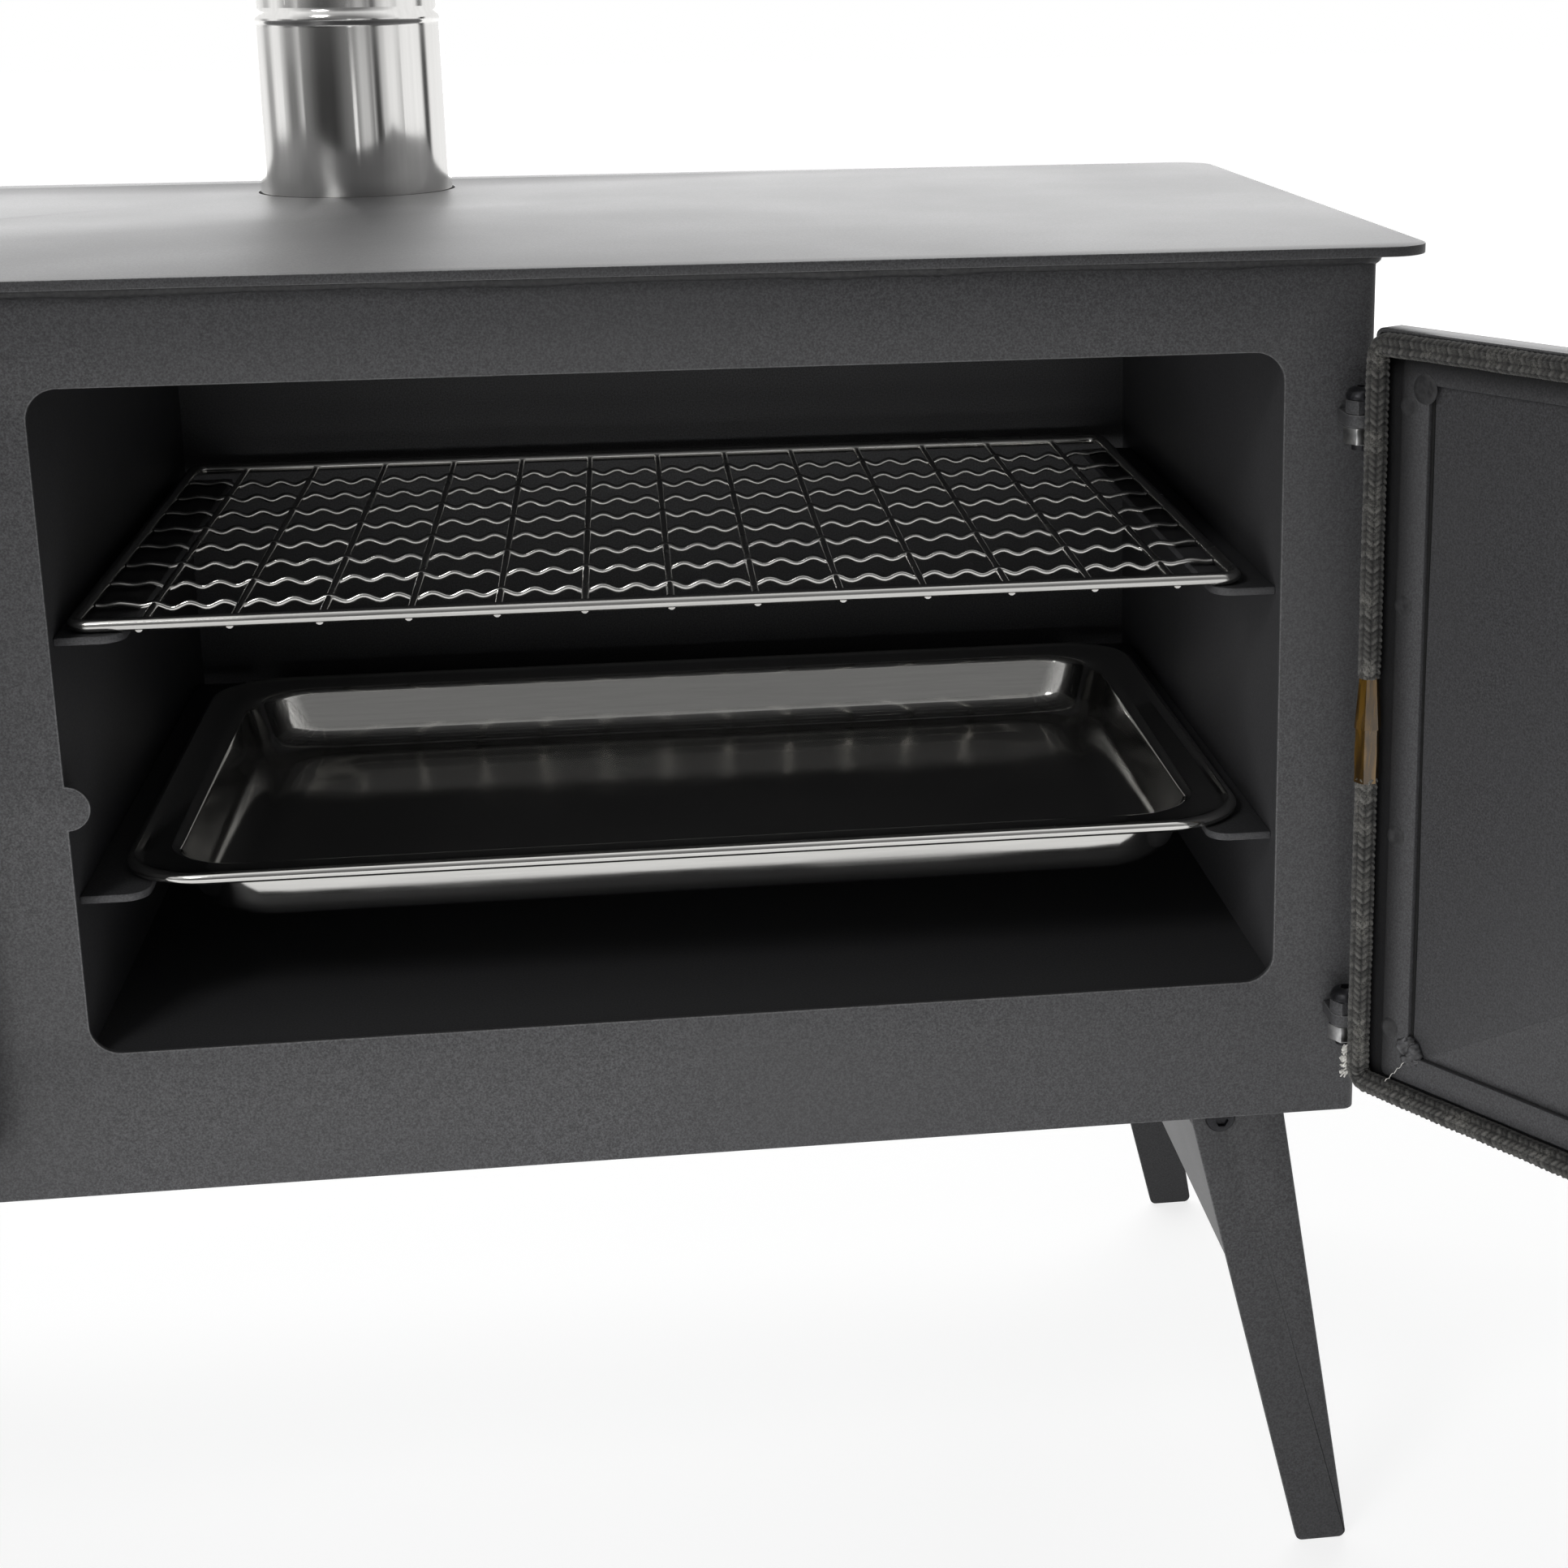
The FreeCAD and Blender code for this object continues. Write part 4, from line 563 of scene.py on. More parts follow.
def ease(node: str, finish: Finish, edge: Edge, edge_wear_and_highlight: Optional[Finish] = None) -> None:
    """Stand in for a solid with a copy of it whose sharp edges are eased.

    Args:
        node: Name of the solid.
        finish: Finish of its faces.
        edge: How far its edges are eased.
        edge_wear_and_highlight: Finish of the eased edges, where it differs.
    """
    flat_angle, eased_angle, smooth_angle = 0.6, 38.0, 32.0
    solid = frame["nodes"][node]
    piece = bpy.data.objects.new(f"{node}_eased", solid.data.copy())
    bpy.context.scene.collection.objects.link(piece)
    piece.data.materials.clear()
    piece.data.materials.append(finish.make())
    select_only(piece)
    bpy.ops.object.mode_set(mode="EDIT")
    bpy.ops.mesh.select_all(action="SELECT")
    bpy.ops.mesh.remove_doubles(threshold=SEAM)
    bpy.ops.mesh.dissolve_limited(angle_limit=math.radians(flat_angle))
    bpy.ops.object.mode_set(mode="OBJECT")
    bevel = piece.modifiers.new("eased", "BEVEL")
    bevel.width = edge.value * MM
    bevel.segments = 2
    bevel.limit_method = "ANGLE"
    bevel.angle_limit = math.radians(eased_angle)
    # The eased edges take the paler paint: partly wear, partly a painted highlight
    if edge_wear_and_highlight:
        piece.data.materials.append(edge_wear_and_highlight.make())
        bevel.material = 1
    apply_modifiers(piece)
    shade(smooth_angle)
    hand_over(piece, solid["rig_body"], finish, node)


def sheet_of(name: str, columns: int, rows: int, place: Callable[[int, int], Vector]) -> Piece:
    """Lay a grid primitive over a surface.

    Args:
        name: The piece's name.
        columns: Faces along the grid.
        rows: Faces across the grid.
        place: Where the point at a column and row goes.

    Returns:
        The piece, with seams still open.
    """
    deselect()
    bpy.ops.mesh.primitive_grid_add(x_subdivisions=columns, y_subdivisions=rows, size=2.0, calc_uvs=True)
    piece = bpy.context.object
    piece.name = name
    for point in piece.data.vertices:
        column = round((point.co.x + 1) / 2 * columns)
        row = round((point.co.y + 1) / 2 * rows)
        point.co = place(column, row)
    return piece


def sweep(name: str, path: Sequence[Vector], flat: Vector, radius: float, sides: int, closed: bool,
          relief: Optional[Relief] = None) -> Piece:
    """Draw a round bar along a flat path.

    Args:
        name: The piece's name.
        path: Points of the middle line.
        flat: Normal of the plane that the path lies in.
        radius: Radius of the bar.
        sides: Faces round the bar.
        closed: Whether the path comes back to its start; an open bar gets flat ends.
        relief: Change of radius and a crest value, from the way run and the share of a turn.

    Returns:
        The closed piece.
    """
    count = len(path)
    ways = [0.0]
    for before, after in zip(path, path[1:]):
        ways.append(ways[-1] + (after - before).length)
    stations = list(range(count)) + [0] if closed else [0, *range(count), count - 1]
    columns = len(stations) - 1
    crests: list[float] = []

    def place(column: int, row: int) -> Vector:
        """Place one point of the bar's skin and note its crest.

        Args:
            column: Step along the bar.
            row: Step round it.

        Returns:
            The point.
        """
        at = stations[column]
        before = path[at - 1] if closed or at else path[0]
        after = path[(at + 1) % count] if closed or at < count - 1 else path[-1]
        out = (after - before).normalized().cross(flat)
        turn = (row % sides) / sides
        reach = radius
        if relief:
            change, crest = relief(ways[at], turn)
            crests.append(crest)
            reach += change
        if not closed and column in (0, columns):
            reach = 0.0
        angle = turn * math.tau
        return path[at] + (out * math.cos(angle) + flat * math.sin(angle)) * reach

    piece = sheet_of(name, columns, sides, place)
    if relief:
        layer = piece.data.attributes.new("crest", "FLOAT", "POINT")
        for point, crest in zip(layer.data, crests):
            point.value = crest
    settle(piece, angle=60.0)
    return piece


def lathe(name: str, profile: Sequence[tuple[float, float]], turn: Matrix, sides: int) -> Piece:
    """Turn a profile about an axis.

    Args:
        name: The piece's name.
        profile: Radius and height pairs.
        turn: Takes the Z axis to the piece's own axis and place.
        sides: Faces round the axis.

    Returns:
        The turned piece.
    """
    def place(column: int, row: int) -> Vector:
        """Place one point of the turned skin.

        Args:
            column: Step along the profile.
            row: Step round the axis.

        Returns:
            The point.
        """
        radius, height = profile[column]
        angle = (row % sides) / sides * math.tau
        return turn @ Vector((radius * math.cos(angle), radius * math.sin(angle), height))

    piece = sheet_of(name, len(profile) - 1, sides, place)
    settle(piece, angle=40.0)
    return piece


def rounded_loop(width: float, height: float, corner: float, side_steps: tuple[int, int],
                 corner_steps: int) -> list[tuple[float, float]]:
    """Give points round a rectangle with round corners, about its middle.

    Args:
        width: Full width.
        height: Full height.
        corner: Corner radius.
        side_steps: Steps along a horizontal and along a vertical side.
        corner_steps: Steps round one corner.

    Returns:
        Points anticlockwise from the right end of the lower side.
    """
    half_w, half_h = width / 2 - corner, height / 2 - corner
    middles = ((half_w, -half_h), (half_w, half_h), (-half_w, half_h), (-half_w, -half_h))
    points: list[tuple[float, float]] = []
    for quarter, (x, y) in enumerate(middles):
        for step in range(corner_steps + 1):
            angle = (quarter - 1 + step / corner_steps) * math.pi / 2
            points.append((x + corner * math.cos(angle), y + corner * math.sin(angle)))
        next_x, next_y = middles[(quarter + 1) % 4]
        angle = quarter * math.pi / 2
        start = points[-1]
        end = (next_x + corner * math.cos(angle), next_y + corner * math.sin(angle))
        steps = side_steps[1] if quarter % 2 == 0 else side_steps[0]
        for step in range(1, steps):
            share = step / steps
            points.append((start[0] + (end[0] - start[0]) * share, start[1] + (end[1] - start[1]) * share))
    return points


def join(name: str, pieces: Sequence[Piece]) -> Piece:
    """Make several meshes one piece.

    Args:
        name: The joined piece's name.
        pieces: Meshes with one finish.

    Returns:
        The joined piece, selected.
    """
    deselect()
    for piece in pieces:
        piece.select_set(True)
    bpy.context.view_layer.objects.active = pieces[0]
    bpy.ops.object.join()
    joined = bpy.context.object
    joined.name = name
    return joined


def lump(name: str, turn: Matrix, size: Vector, seed: float) -> Piece:
    """Shape an uneven lump, of weld metal or of matted fibre.

    Args:
        name: The piece's name.
        turn: Takes the lump's middle and axes to its place.
        size: Half of its extent along its own axes.
        seed: Makes one lump differ from the next.

    Returns:
        The lump.
    """
    deselect()
    bpy.ops.mesh.primitive_ico_sphere_add(subdivisions=4, radius=1.0)
    piece = bpy.context.object
    piece.name = name
    for point in piece.data.vertices:
        x, y, z = point.co
        waves = 0.17 * math.sin(4 * x + seed) * math.cos(3 * z - seed)
        bumps = 0.08 * math.sin(9 * z + 5 * x + seed)
        swell = 1 + waves + bumps
        point.co = turn @ Vector((x * size.x * swell, y * size.y * swell, z * size.z * swell))
    settle(piece, angle=60.0)
    return piece


@dataclass
class StoveBody:
    """The sheet body with its top plate, its oven liner and the welds that close it."""

    width: float = 638 * MM
    depth: float = 308 * MM
    corner: float = 4 * MM
    plate_under: float = 448 * MM
    bead_radius: float = 2.3 * MM
    bead_inset: float = 0.4 * MM
    ripple: float = 3.1 * MM

    def build(self) -> None:
        """Dress the panels and lay the weld under the top plate."""
        for node in ("front_panel", "left_side_panel", "right_side_panel", "rear_panel"):
            ease(node, PAINT, Edge.SHEET, WORN_AND_HIGHLIT_PAINT)
        ease("top_plate", PAINT, Edge.PLATE, WORN_AND_HIGHLIT_PAINT)
        ease("hinge_fixed_lugs", PAINT, Edge.SHEET, WORN_AND_HIGHLIT_PAINT)
        for node in ("upper_ledges", "lower_ledges"):
            ease(node, OVEN_PAINT, Edge.SHEET)
        for node in ("bottom_panel", "flue_spigot", "leg_brackets", "firebox_partition", "grate_rails"):
            ease(node, PAINT, Edge.FINE)
        for node in ("oven_floor", "oven_ceiling", "oven_left_wall", "oven_right_wall", "oven_back_wall"):
            paint_node(node, OVEN_PAINT)
        for place in ("hinge", "leg"):
            ease(f"{place}_bolts", BLACK_BOLT, Edge.FINE)
            ease(f"{place}_nuts", ZINC, Edge.SHEET)
        self.weld_plate()

    def weld_plate(self) -> None:
        """Lay the rippled weld bead all round, where the body meets the top plate."""
        inset = self.bead_inset
        loop = rounded_loop(self.width - 2 * inset, self.depth - 2 * inset, self.corner,
                            side_steps=(420, 210), corner_steps=6)
        path = [Vector((x, y, self.plate_under - inset)) for x, y in loop]
        bead = sweep("top_plate_weld_bead", path, UP, self.bead_radius, sides=10, closed=True,
                     relief=self.ripples)
        hand_over(bead, "stove_body", SHADED_WELD)

    def ripples(self, way: float, turn: float) -> tuple[float, float]:
        """Give the bead's relief: close ripples on a slow waver.

        Args:
            way: Distance along the bead.
            turn: Share of a turn round the bead, which makes no difference here.

        Returns:
            Change of radius, and an even crest.
        """
        run = way / MM
        slow = 0.34 * math.sin(run / 17.0) + 0.26 * math.sin(run / 5.3) * math.sin(run / 41.0)
        swell = 0.2 * math.cos(math.tau * way / self.ripple)
        return (slow + swell) * MM, 0.5


@dataclass
class Flue:
    """The first flue section, rolled from thin stainless sheet with a bead above its socket."""

    centre: tuple[float, float] = (0.0, 112 * MM)
    seat: float = 448 * MM
    socket: float = 35.0 * MM
    pipe: float = 34.4 * MM
    wall: float = 0.6 * MM
    foot: float = 6 * MM
    crease: float = 1 * MM
    end_draw: float = 0.1 * MM
    bead_top: float = 69 * MM
    bead_width: float = 5 * MM
    bead_out: float = 0.7 * MM
    bead_steps: int = 8
    length: float = 297 * MM
    seam_angle: float = 238.0
    seam_radius: float = 0.32 * MM
    seam_sink: float = 0.15 * MM
    seam_steps: int = 60

    def build(self) -> None:
        """Turn the pipe and lay its lengthwise seam."""
        low = self.bead_top - self.bead_width
        outer = [(self.socket, 0.0), (self.socket, self.foot), (self.socket, low - self.crease)]
        for step in range(self.bead_steps + 1):
            share = step / self.bead_steps
            swell = self.bead_out * math.sin(math.pi * share)
            base = self.socket + (self.pipe - self.socket) * share
            outer.append((base + swell, low + self.bead_width * share))
        outer += [(self.pipe, self.bead_top + self.crease), (self.pipe, self.length - self.crease),
                  (self.pipe - self.end_draw, self.length)]
        inner = [(radius - self.wall, height) for radius, height in reversed(outer)]
        profile = [*outer, *inner, outer[0]]
        turn = Matrix.Translation((*self.centre, self.seat))
        pipe = lathe("flue_section_rolled", profile, turn, sides=144)
        hand_over(pipe, "flue", FLUE_STEEL, "flue_pipe")
        self.seam()

    def seam(self) -> None:
        """Lay the welded seam along the front left of the pipe."""
        angle = math.radians(self.seam_angle)
        out = Vector((math.cos(angle), math.sin(angle), 0))
        middle = Vector((*self.centre, 0)) + out * (self.pipe - self.seam_sink)
        low, high = self.seat + self.bead_top + 2 * self.crease, self.seat + self.length - self.crease
        rise = (high - low) / self.seam_steps
        path = [middle + UP * (low + rise * step) for step in range(self.seam_steps + 1)]
        bead = sweep("flue_seam", path, out, self.seam_radius, sides=6, closed=False)
        hand_over(bead, "flue", FLUE_STEEL)


@dataclass
class WireRack:
    """The oven rack: a bent frame wire, straight rods and crimped wires woven over and under them."""

    frame_radius: float = 2.0 * MM
    corner: float = 5 * MM
    rods: int = 13
    rod_radius: float = 1.2 * MM
    rod_lift: float = 1.9 * MM
    rod_inset: float = 0.8 * MM
    rod_margin: float = 19.2 * MM
    rod_steps: int = 24
    wires: int = 8
    wire_radius: float = 1.0 * MM
    wire_sink: float = 0.3 * MM
    wire_past: float = 0.6 * MM
    waves_per_pitch: float = 2.5
    points_per_wave: int = 10
    crimp: float = 0.85 * MM
    end_crimp: float = 0.3 * MM
    end_lift: float = 0.9 * MM
    end_run: float = 6 * MM

    def build(self) -> None:
        """Model the three kinds of wire where their solids lie."""
        low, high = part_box("rack_frame")
        reach = Vector((self.frame_radius, self.frame_radius, 0))
        self.low, self.high = low + reach, high - reach
        self.level = (low.z + high.z) / 2
        self.build_frame()
        self.build_rods()
        self.build_wires()

    def build_frame(self) -> None:
        """Bend the frame wire."""
        size, middle = self.high - self.low, (self.high + self.low) / 2
        loop = rounded_loop(size.x, size.y, self.corner, side_steps=(60, 44), corner_steps=8)
        path = [Vector((middle.x + x, middle.y + y, self.level)) for x, y in loop]
        wire = sweep("rack_frame_wire", path, UP, self.frame_radius, sides=14, closed=True)
        hand_over(wire, "wire_rack", RACK_STEEL, "rack_frame")

    def rod_places(self) -> list[float]:
        """Space the rods evenly.

        Returns:
            The x of each rod.
        """
        first = self.low.x + self.rod_margin
        pitch = (self.high.x - self.low.x - 2 * self.rod_margin) / (self.rods - 1)
        return [first + index * pitch for index in range(self.rods)]

    def build_rods(self) -> None:
        """Lay the straight rods from the front of the frame wire to its back."""
        low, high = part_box("rack_rods")
        level = (low.z + high.z) / 2 + self.rod_lift
        start, run = low.y + self.rod_inset, high.y - low.y - 2 * self.rod_inset
        ways = [start + run * step / self.rod_steps for step in range(self.rod_steps + 1)]
        bars = []
        for x in self.rod_places():
            path = [Vector((x, y, level)) for y in ways]
            bars.append(sweep("rod", path, UP, self.rod_radius, sides=10, closed=False))
        hand_over(join("rack_straight_rods", bars), "wire_rack", RACK_STEEL, "rack_rods")

    def build_wires(self) -> None:
        """Crimp the cross wires, neighbours opposite, and run their ends up to the frame wire."""
        rods = self.rod_places()
        pitch = rods[1] - rods[0]
        low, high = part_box("rack_cross_wires")
        middle = low.z + self.wire_radius - self.wire_sink
        steps = round((high.x - low.x) / pitch * self.waves_per_pitch * self.points_per_wave)
        start, run = low.x - self.wire_past, high.x - low.x + 2 * self.wire_past
        wires = []
        for index in range(self.wires):
            y = self.low.y + (self.high.y - self.low.y) * (index + 1) / (self.wires + 1)
            path = []
            for step in range(steps + 1):
                x = start + run * step / steps
                past = max(rods[0] - x, x - rods[-1], 0.0)
                share = min(past / self.end_run, 1.0)
                swing = self.crimp + (self.end_crimp - self.crimp) * share
                phase = math.tau * self.waves_per_pitch * (x - rods[0]) / pitch + index * math.pi
                path.append(Vector((x, y, middle + self.end_lift * share + swing * math.cos(phase))))
            wires.append(sweep("wire", path, Vector((0, 1, 0)), self.wire_radius, sides=8, closed=False))
        hand_over(join("rack_crimped_wires", wires), "wire_rack", RACK_STEEL, "rack_cross_wires")


@dataclass
class BakingTray:
    """The drawn tray: rolled edge, flat rim, leaning walls and a floor with soft corners."""

    corner: float = 26 * MM
    corner_draw: float = 0.2
    rim: float = 15 * MM
    rim_lift: float = 0.35 * MM
    rim_crease: tuple[float, float] = (2.4 * MM, 3.4 * MM)
    slope: float = 5 * MM
    sheet: float = 0.7 * MM
    roll: float = 1.55 * MM
    roll_drop: float = 1.8 * MM
    roll_start: float = -50.0
    roll_turn: float = -270.0
    shoulder: float = 3.0 * MM
    floor_curve: float = 11 * MM
    floor_step: float = 0.5 * MM
    floor_rings: Triple = (9 * MM, 10.5 * MM, 24 * MM)
    smooth_angle: float = 50.0

    def build(self) -> None:
        """Loft the tray through round-cornered loops and give it the sheet's thickness."""
        low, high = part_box("baking_tray")
        size, middle = high - low, (high + low) / 2
        floor_z = low.z + self.sheet / 2
        loops = []
        for inset, z in self.profile(high.z - self.roll_drop, floor_z):
            corner = self.corner - inset * self.corner_draw
            loop = rounded_loop(size.x - 2 * inset, size.y - 2 * inset, corner,
                                side_steps=(26, 18), corner_steps=12)
            loops.append([Vector((middle.x + x, middle.y + y, z)) for x, y in loop])
        around = len(loops[0])
        sheet = sheet_of("tray_drawn", len(loops) - 1, around,
                         lambda column, row: loops[column][row % around])
        settle(sheet, self.smooth_angle)
        self.close_floor(sheet, floor_z)
        wall = sheet.modifiers.new("sheet", "SOLIDIFY")
        wall.thickness = self.sheet
        wall.offset = 0.0
        apply_modifiers(sheet)
        shade(self.smooth_angle)
        hand_over(sheet, "tray", TRAY_STEEL, "baking_tray")

    def profile(self, roll_z: float, floor_z: float) -> list[tuple[float, float]]:
        """Give the section from the curled edge to the floor.

        Args:
            roll_z: Height of the middle of the rolled edge.
            floor_z: Height of the floor's middle surface.

        Returns:
            Inset from the outer edge, and height.
        """
        roll_steps, shoulder_steps, curve_steps = 10, 5, 8
        middle = self.roll + self.sheet / 2
        points = []
        for step in range(roll_steps + 1):
            angle = math.radians(self.roll_start + self.roll_turn * step / roll_steps)
            points.append((middle + self.roll * math.cos(angle), roll_z + self.roll * math.sin(angle)))
        rim_z = roll_z + self.rim_lift
        high, level = self.rim_crease
        points += [(middle + high, rim_z + self.rim_lift), (middle + level, rim_z),
                   (self.rim - self.shoulder, rim_z)]
        for step in range(1, shoulder_steps + 1):
            angle = math.pi / 2 * step / shoulder_steps
            points.append((self.rim - self.shoulder * (1 - math.sin(angle)),
                           rim_z - self.shoulder * (1 - math.cos(angle))))
        edge_z, curve = floor_z + self.floor_step, self.floor_curve
        lean = math.atan2(self.slope, rim_z - edge_z)
        centre_z = edge_z + curve
        fall = rim_z - centre_z + curve * math.sin(lean)
        centre = self.rim + fall * math.tan(lean) + curve * math.cos(lean)
        for step in range(curve_steps + 1):
            angle = lean + (math.pi / 2 - lean) * step / curve_steps
            points.append((centre - curve * math.cos(angle), centre_z - curve * math.sin(angle)))
        for ring, z in zip(self.floor_rings, (edge_z, floor_z, floor_z)):
            points.append((centre + ring, z))
        return points

    def close_floor(self, sheet: Piece, floor_z: float) -> None:
        """Fill the open loop that is left in the floor.

        Args:
            sheet: The lofted sheet.
            floor_z: Height of the loop.
        """
        select_only(sheet)
        bpy.ops.object.mode_set(mode="EDIT")
        bpy.ops.mesh.select_mode(type="EDGE")
        bpy.ops.mesh.select_all(action="DESELECT")
        bpy.ops.mesh.select_non_manifold(extend=False, use_wire=False, use_multi_face=False,
                                         use_non_contiguous=False, use_verts=False)
        bpy.ops.object.mode_set(mode="OBJECT")
        for edge in sheet.data.edges:
            ends = [sheet.data.vertices[index].co.z for index in edge.vertices]
            edge.select = edge.select and all(abs(z - floor_z) < SEAM for z in ends)
        bpy.ops.object.mode_set(mode="EDIT")
        bpy.ops.mesh.edge_face_add()
        bpy.ops.mesh.select_mode(type="VERT")
        bpy.ops.mesh.select_all(action="SELECT")
        bpy.ops.mesh.normals_make_consistent(inside=False)
        bpy.ops.object.mode_set(mode="OBJECT")


@dataclass(frozen=True)
class Grip:
    """The turned wooden grip of a handle: a belly between two short collars, bored for the rod."""

    length: float = 74 * MM
    rod: float = 4.0 * MM
    collar: float = 5.6 * MM
    lip: float = 6.4 * MM
    chamfer: float = 0.6 * MM
    neck: float = 6.5 * MM
    belly: float = 2.4 * MM
    steps: int = 24

    def profile(self) -> list[tuple[float, float]]:
        """Give the section from end to end and back along the bore.

        Returns:
            Radius and height pairs.
        """
        points = [(self.rod, 0.0), (self.collar, 0.0), (self.lip, self.chamfer)]
        for step in range(1, self.steps):
            share = step / self.steps
            points.append((self.neck + self.belly * math.sin(math.pi * share) ** 0.7, self.length * share))
        points += [(self.lip, self.length - self.chamfer), (self.collar, self.length),
                   (self.rod, self.length), (self.rod, 0.0)]
        return points


@dataclass
class Door:
    """One double-skinned door with its rope seal, seen from its hinge axis when closed.

    The spot welds' heights are shares of the door's height. Their ring is radius and height pairs in
    millimetres.
    """

    name: str
    axis: tuple[float, float]
    angle: float
    hand: Hand
    width: float
    near: float = 6 * MM
    bottom: float = 190 * MM
    height: float = 239 * MM
    overlap: float = 17 * MM
    seal_inset: float = 4 * MM
    seal_level: float = 4.75 * MM
    seal_radius: float = 3.75 * MM
    seal_corner: float = 4.3 * MM
    seal_step: float = 0.45 * MM
    columns: int = 8
    stitch: float = 2.0 * MM
    braid_depth: float = 0.85 * MM
    wrapped: tuple[float, float] = (0.0, 0.0)
    wrapped_sink: float = 1.2 * MM
    strip_level: float = 3.0 * MM
    strip_edge: float = 12 * MM
    strip_width: float = 10.3 * MM
    # Painted shade of the rope on the liner: where it is darkest and where it ends beside the rope, and how
    # far it reaches below the top
    side_shade: tuple[float, float] = (2 * MM, 13 * MM)
    top_shade: float = 9 * MM
    spot_inset: float = 3 * MM
    spot_shares: tuple[float, ...] = (0.1, 0.36, 0.66, 0.91)
    spot_ring: tuple[tuple[float, float], ...] = (
        (0.0, 0.3), (1.3, 0.28), (2.2, 0.4), (2.8, 0.3), (3.3, 0.05), (3.3, -0.2), (0.0, -0.2))
    latch: float = 20 * MM
    latch_height: float = 297 * MM
    handle_length: float = 100 * MM
    handle_out: float = 38 * MM
    grip: Grip = Grip()

    def __post_init__(self) -> None:
        """Work out the door's place at rest and its own directions."""
        self.turn = Matrix.Translation((*self.axis, 0)) @ Matrix.Rotation(math.radians(self.angle), 4, "Z")
        self.along = self.turn.to_3x3() @ Vector((self.hand.value, 0, 0))
        self.inward = self.turn.to_3x3() @ Vector((0, 1, 0))
        self.body = self.name
        self.latch_body = self.name.replace("door", "latch")

    def at(self, run: float, depth: float, z: float) -> Vector:
        """Place a point of the door.

        Args:
            run: Distance from the hinge axis along the door.
            depth: Distance from the axis toward the stove.
            z: Height above the ground.

        Returns:
            The point in the part's frame, at rest.
        """
        return self.turn @ Vector((self.hand.value * run, depth, z))

    def build(self) -> None:
        """Dress the door's sheets and hardware, and model its seal and its grip."""
        for part, edge in (("pan", Edge.PRESSED), ("hinge_lugs", Edge.SHEET)):
            ease(f"{self.name}_{part}", PAINT, edge, WORN_AND_HIGHLIT_PAINT)
        for part in ("liner", "frame_strip"):
            ease(f"{self.name}_{part}", self.shaded_paint(), Edge.SHEET)
        for part in ("latch_bush", "latch_cam"):
            ease(f"{self.name}_{part}", PAINT, Edge.FINE)
        ease(f"{self.name}_handle_lever", PAINT, Edge.SHEET, WORN_AND_HIGHLIT_PAINT)
        ease(f"{self.name}_latch_shaft", BLACK_BOLT, Edge.SHEET)
        ease(f"{self.name}_latch_nut", ZINC, Edge.SHEET)
        self.braid_seal()
        self.spot_welds()
        self.turn_grip()

    def shaded_paint(self) -> StovePaint:
        """Paint shade inside the door beside the rope, at the hinges and along the top.

        Returns:
            The finish.
        """
        # Painted shade of the rope on the liner and frame strip, beside it and under its top run
        rope = self.seal_inset + self.seal_radius
        side = self.along.x * self.axis[0] + self.along.y * self.axis[1] + self.near + rope
        top = rope - self.bottom - self.height
        black, clear = self.side_shade
        beside = (tuple(self.along), side + black, side + clear)
        under_top = ((0.0, 0.0, -1.0), top, top + self.top_shade)
        return StovePaint(f"stove_paint_painted_shade_{self.name}", "painted_steel", roughness=0.48,
                          soot_and_shade=(beside, under_top))

    def seal_path(self) -> list[Vector]:
        """Lead the rope round the door's edge.

        Returns:
            Points of its middle line.
        """
        width, height = self.width - 2 * self.seal_inset, self.height - 2 * self.seal_inset
        middle_run = self.near + self.width / 2
        middle_z = self.bottom + self.height / 2
        corners = 2 * self.seal_corner
        steps = (round((width - corners) / self.seal_step), round((height - corners) / self.seal_step))
        loop = rounded_loop(width, height, self.seal_corner, steps, corner_steps=16)
        return [self.at(middle_run + x, self.seal_level, middle_z + z) for x, z in loop]

    def braid(self, way: float, turn: float) -> tuple[float, float]:
        """Give the rope's relief: columns of slanting stitches, each column slanting against the next.

        Args:
            way: Distance along the rope.
            turn: Share of a turn round the rope.

        Returns:
            Change of radius, and the stitch's height from 0 to 1.
        """
        if self.wrapped[0] < way < self.wrapped[1]:
            return -self.wrapped_sink, 0.0
        column, across = divmod(turn * self.columns, 1.0)
        slant = 1 if int(column) % 2 else -1
        stitch = way / self.stitch + slant * (across - 0.5)
        ridge = abs(math.cos(math.pi * stitch)) ** 0.7
        height = ridge * (0.3 + 0.7 * math.sin(math.pi * across) ** 0.5)
        # The sine stands in for chance, so that neighbouring stitches differ in tone
        shade_share = 0.7 + 0.3 * math.sin(12.9 * column + 78.2 * round(stitch))
        uneven = 0.05 * math.sin(way / MM / 3.1) + 0.05 * math.sin(way / MM / 7.7 + 9 * turn)
        change = self.braid_depth * (height - 1) + (uneven - 0.1) * MM
        return change, height ** 1.5 * shade_share

    def braid_seal(self) -> None:
        """Braid the rope seal round the door."""
        rope = sweep(f"{self.name}_braided_rope", self.seal_path(), self.inward, self.seal_radius,
                     sides=32, closed=True, relief=self.braid)
        hand_over(rope, self.body, ROPE, f"{self.name}_rope_seal")

    def spot_welds(self) -> None:
        """Press small round welds along both upright sides of the frame strip."""
        inset = self.strip_edge + self.spot_inset
        welds = []
        for run in (self.near + inset, self.near + self.width - inset):
            for share in self.spot_shares:
                welds.append(self.spot(run, self.bottom + self.height * share, 1.0))
        hand_over(join(f"{self.name}_spot_welds", welds), self.body, SHADED_WELD)

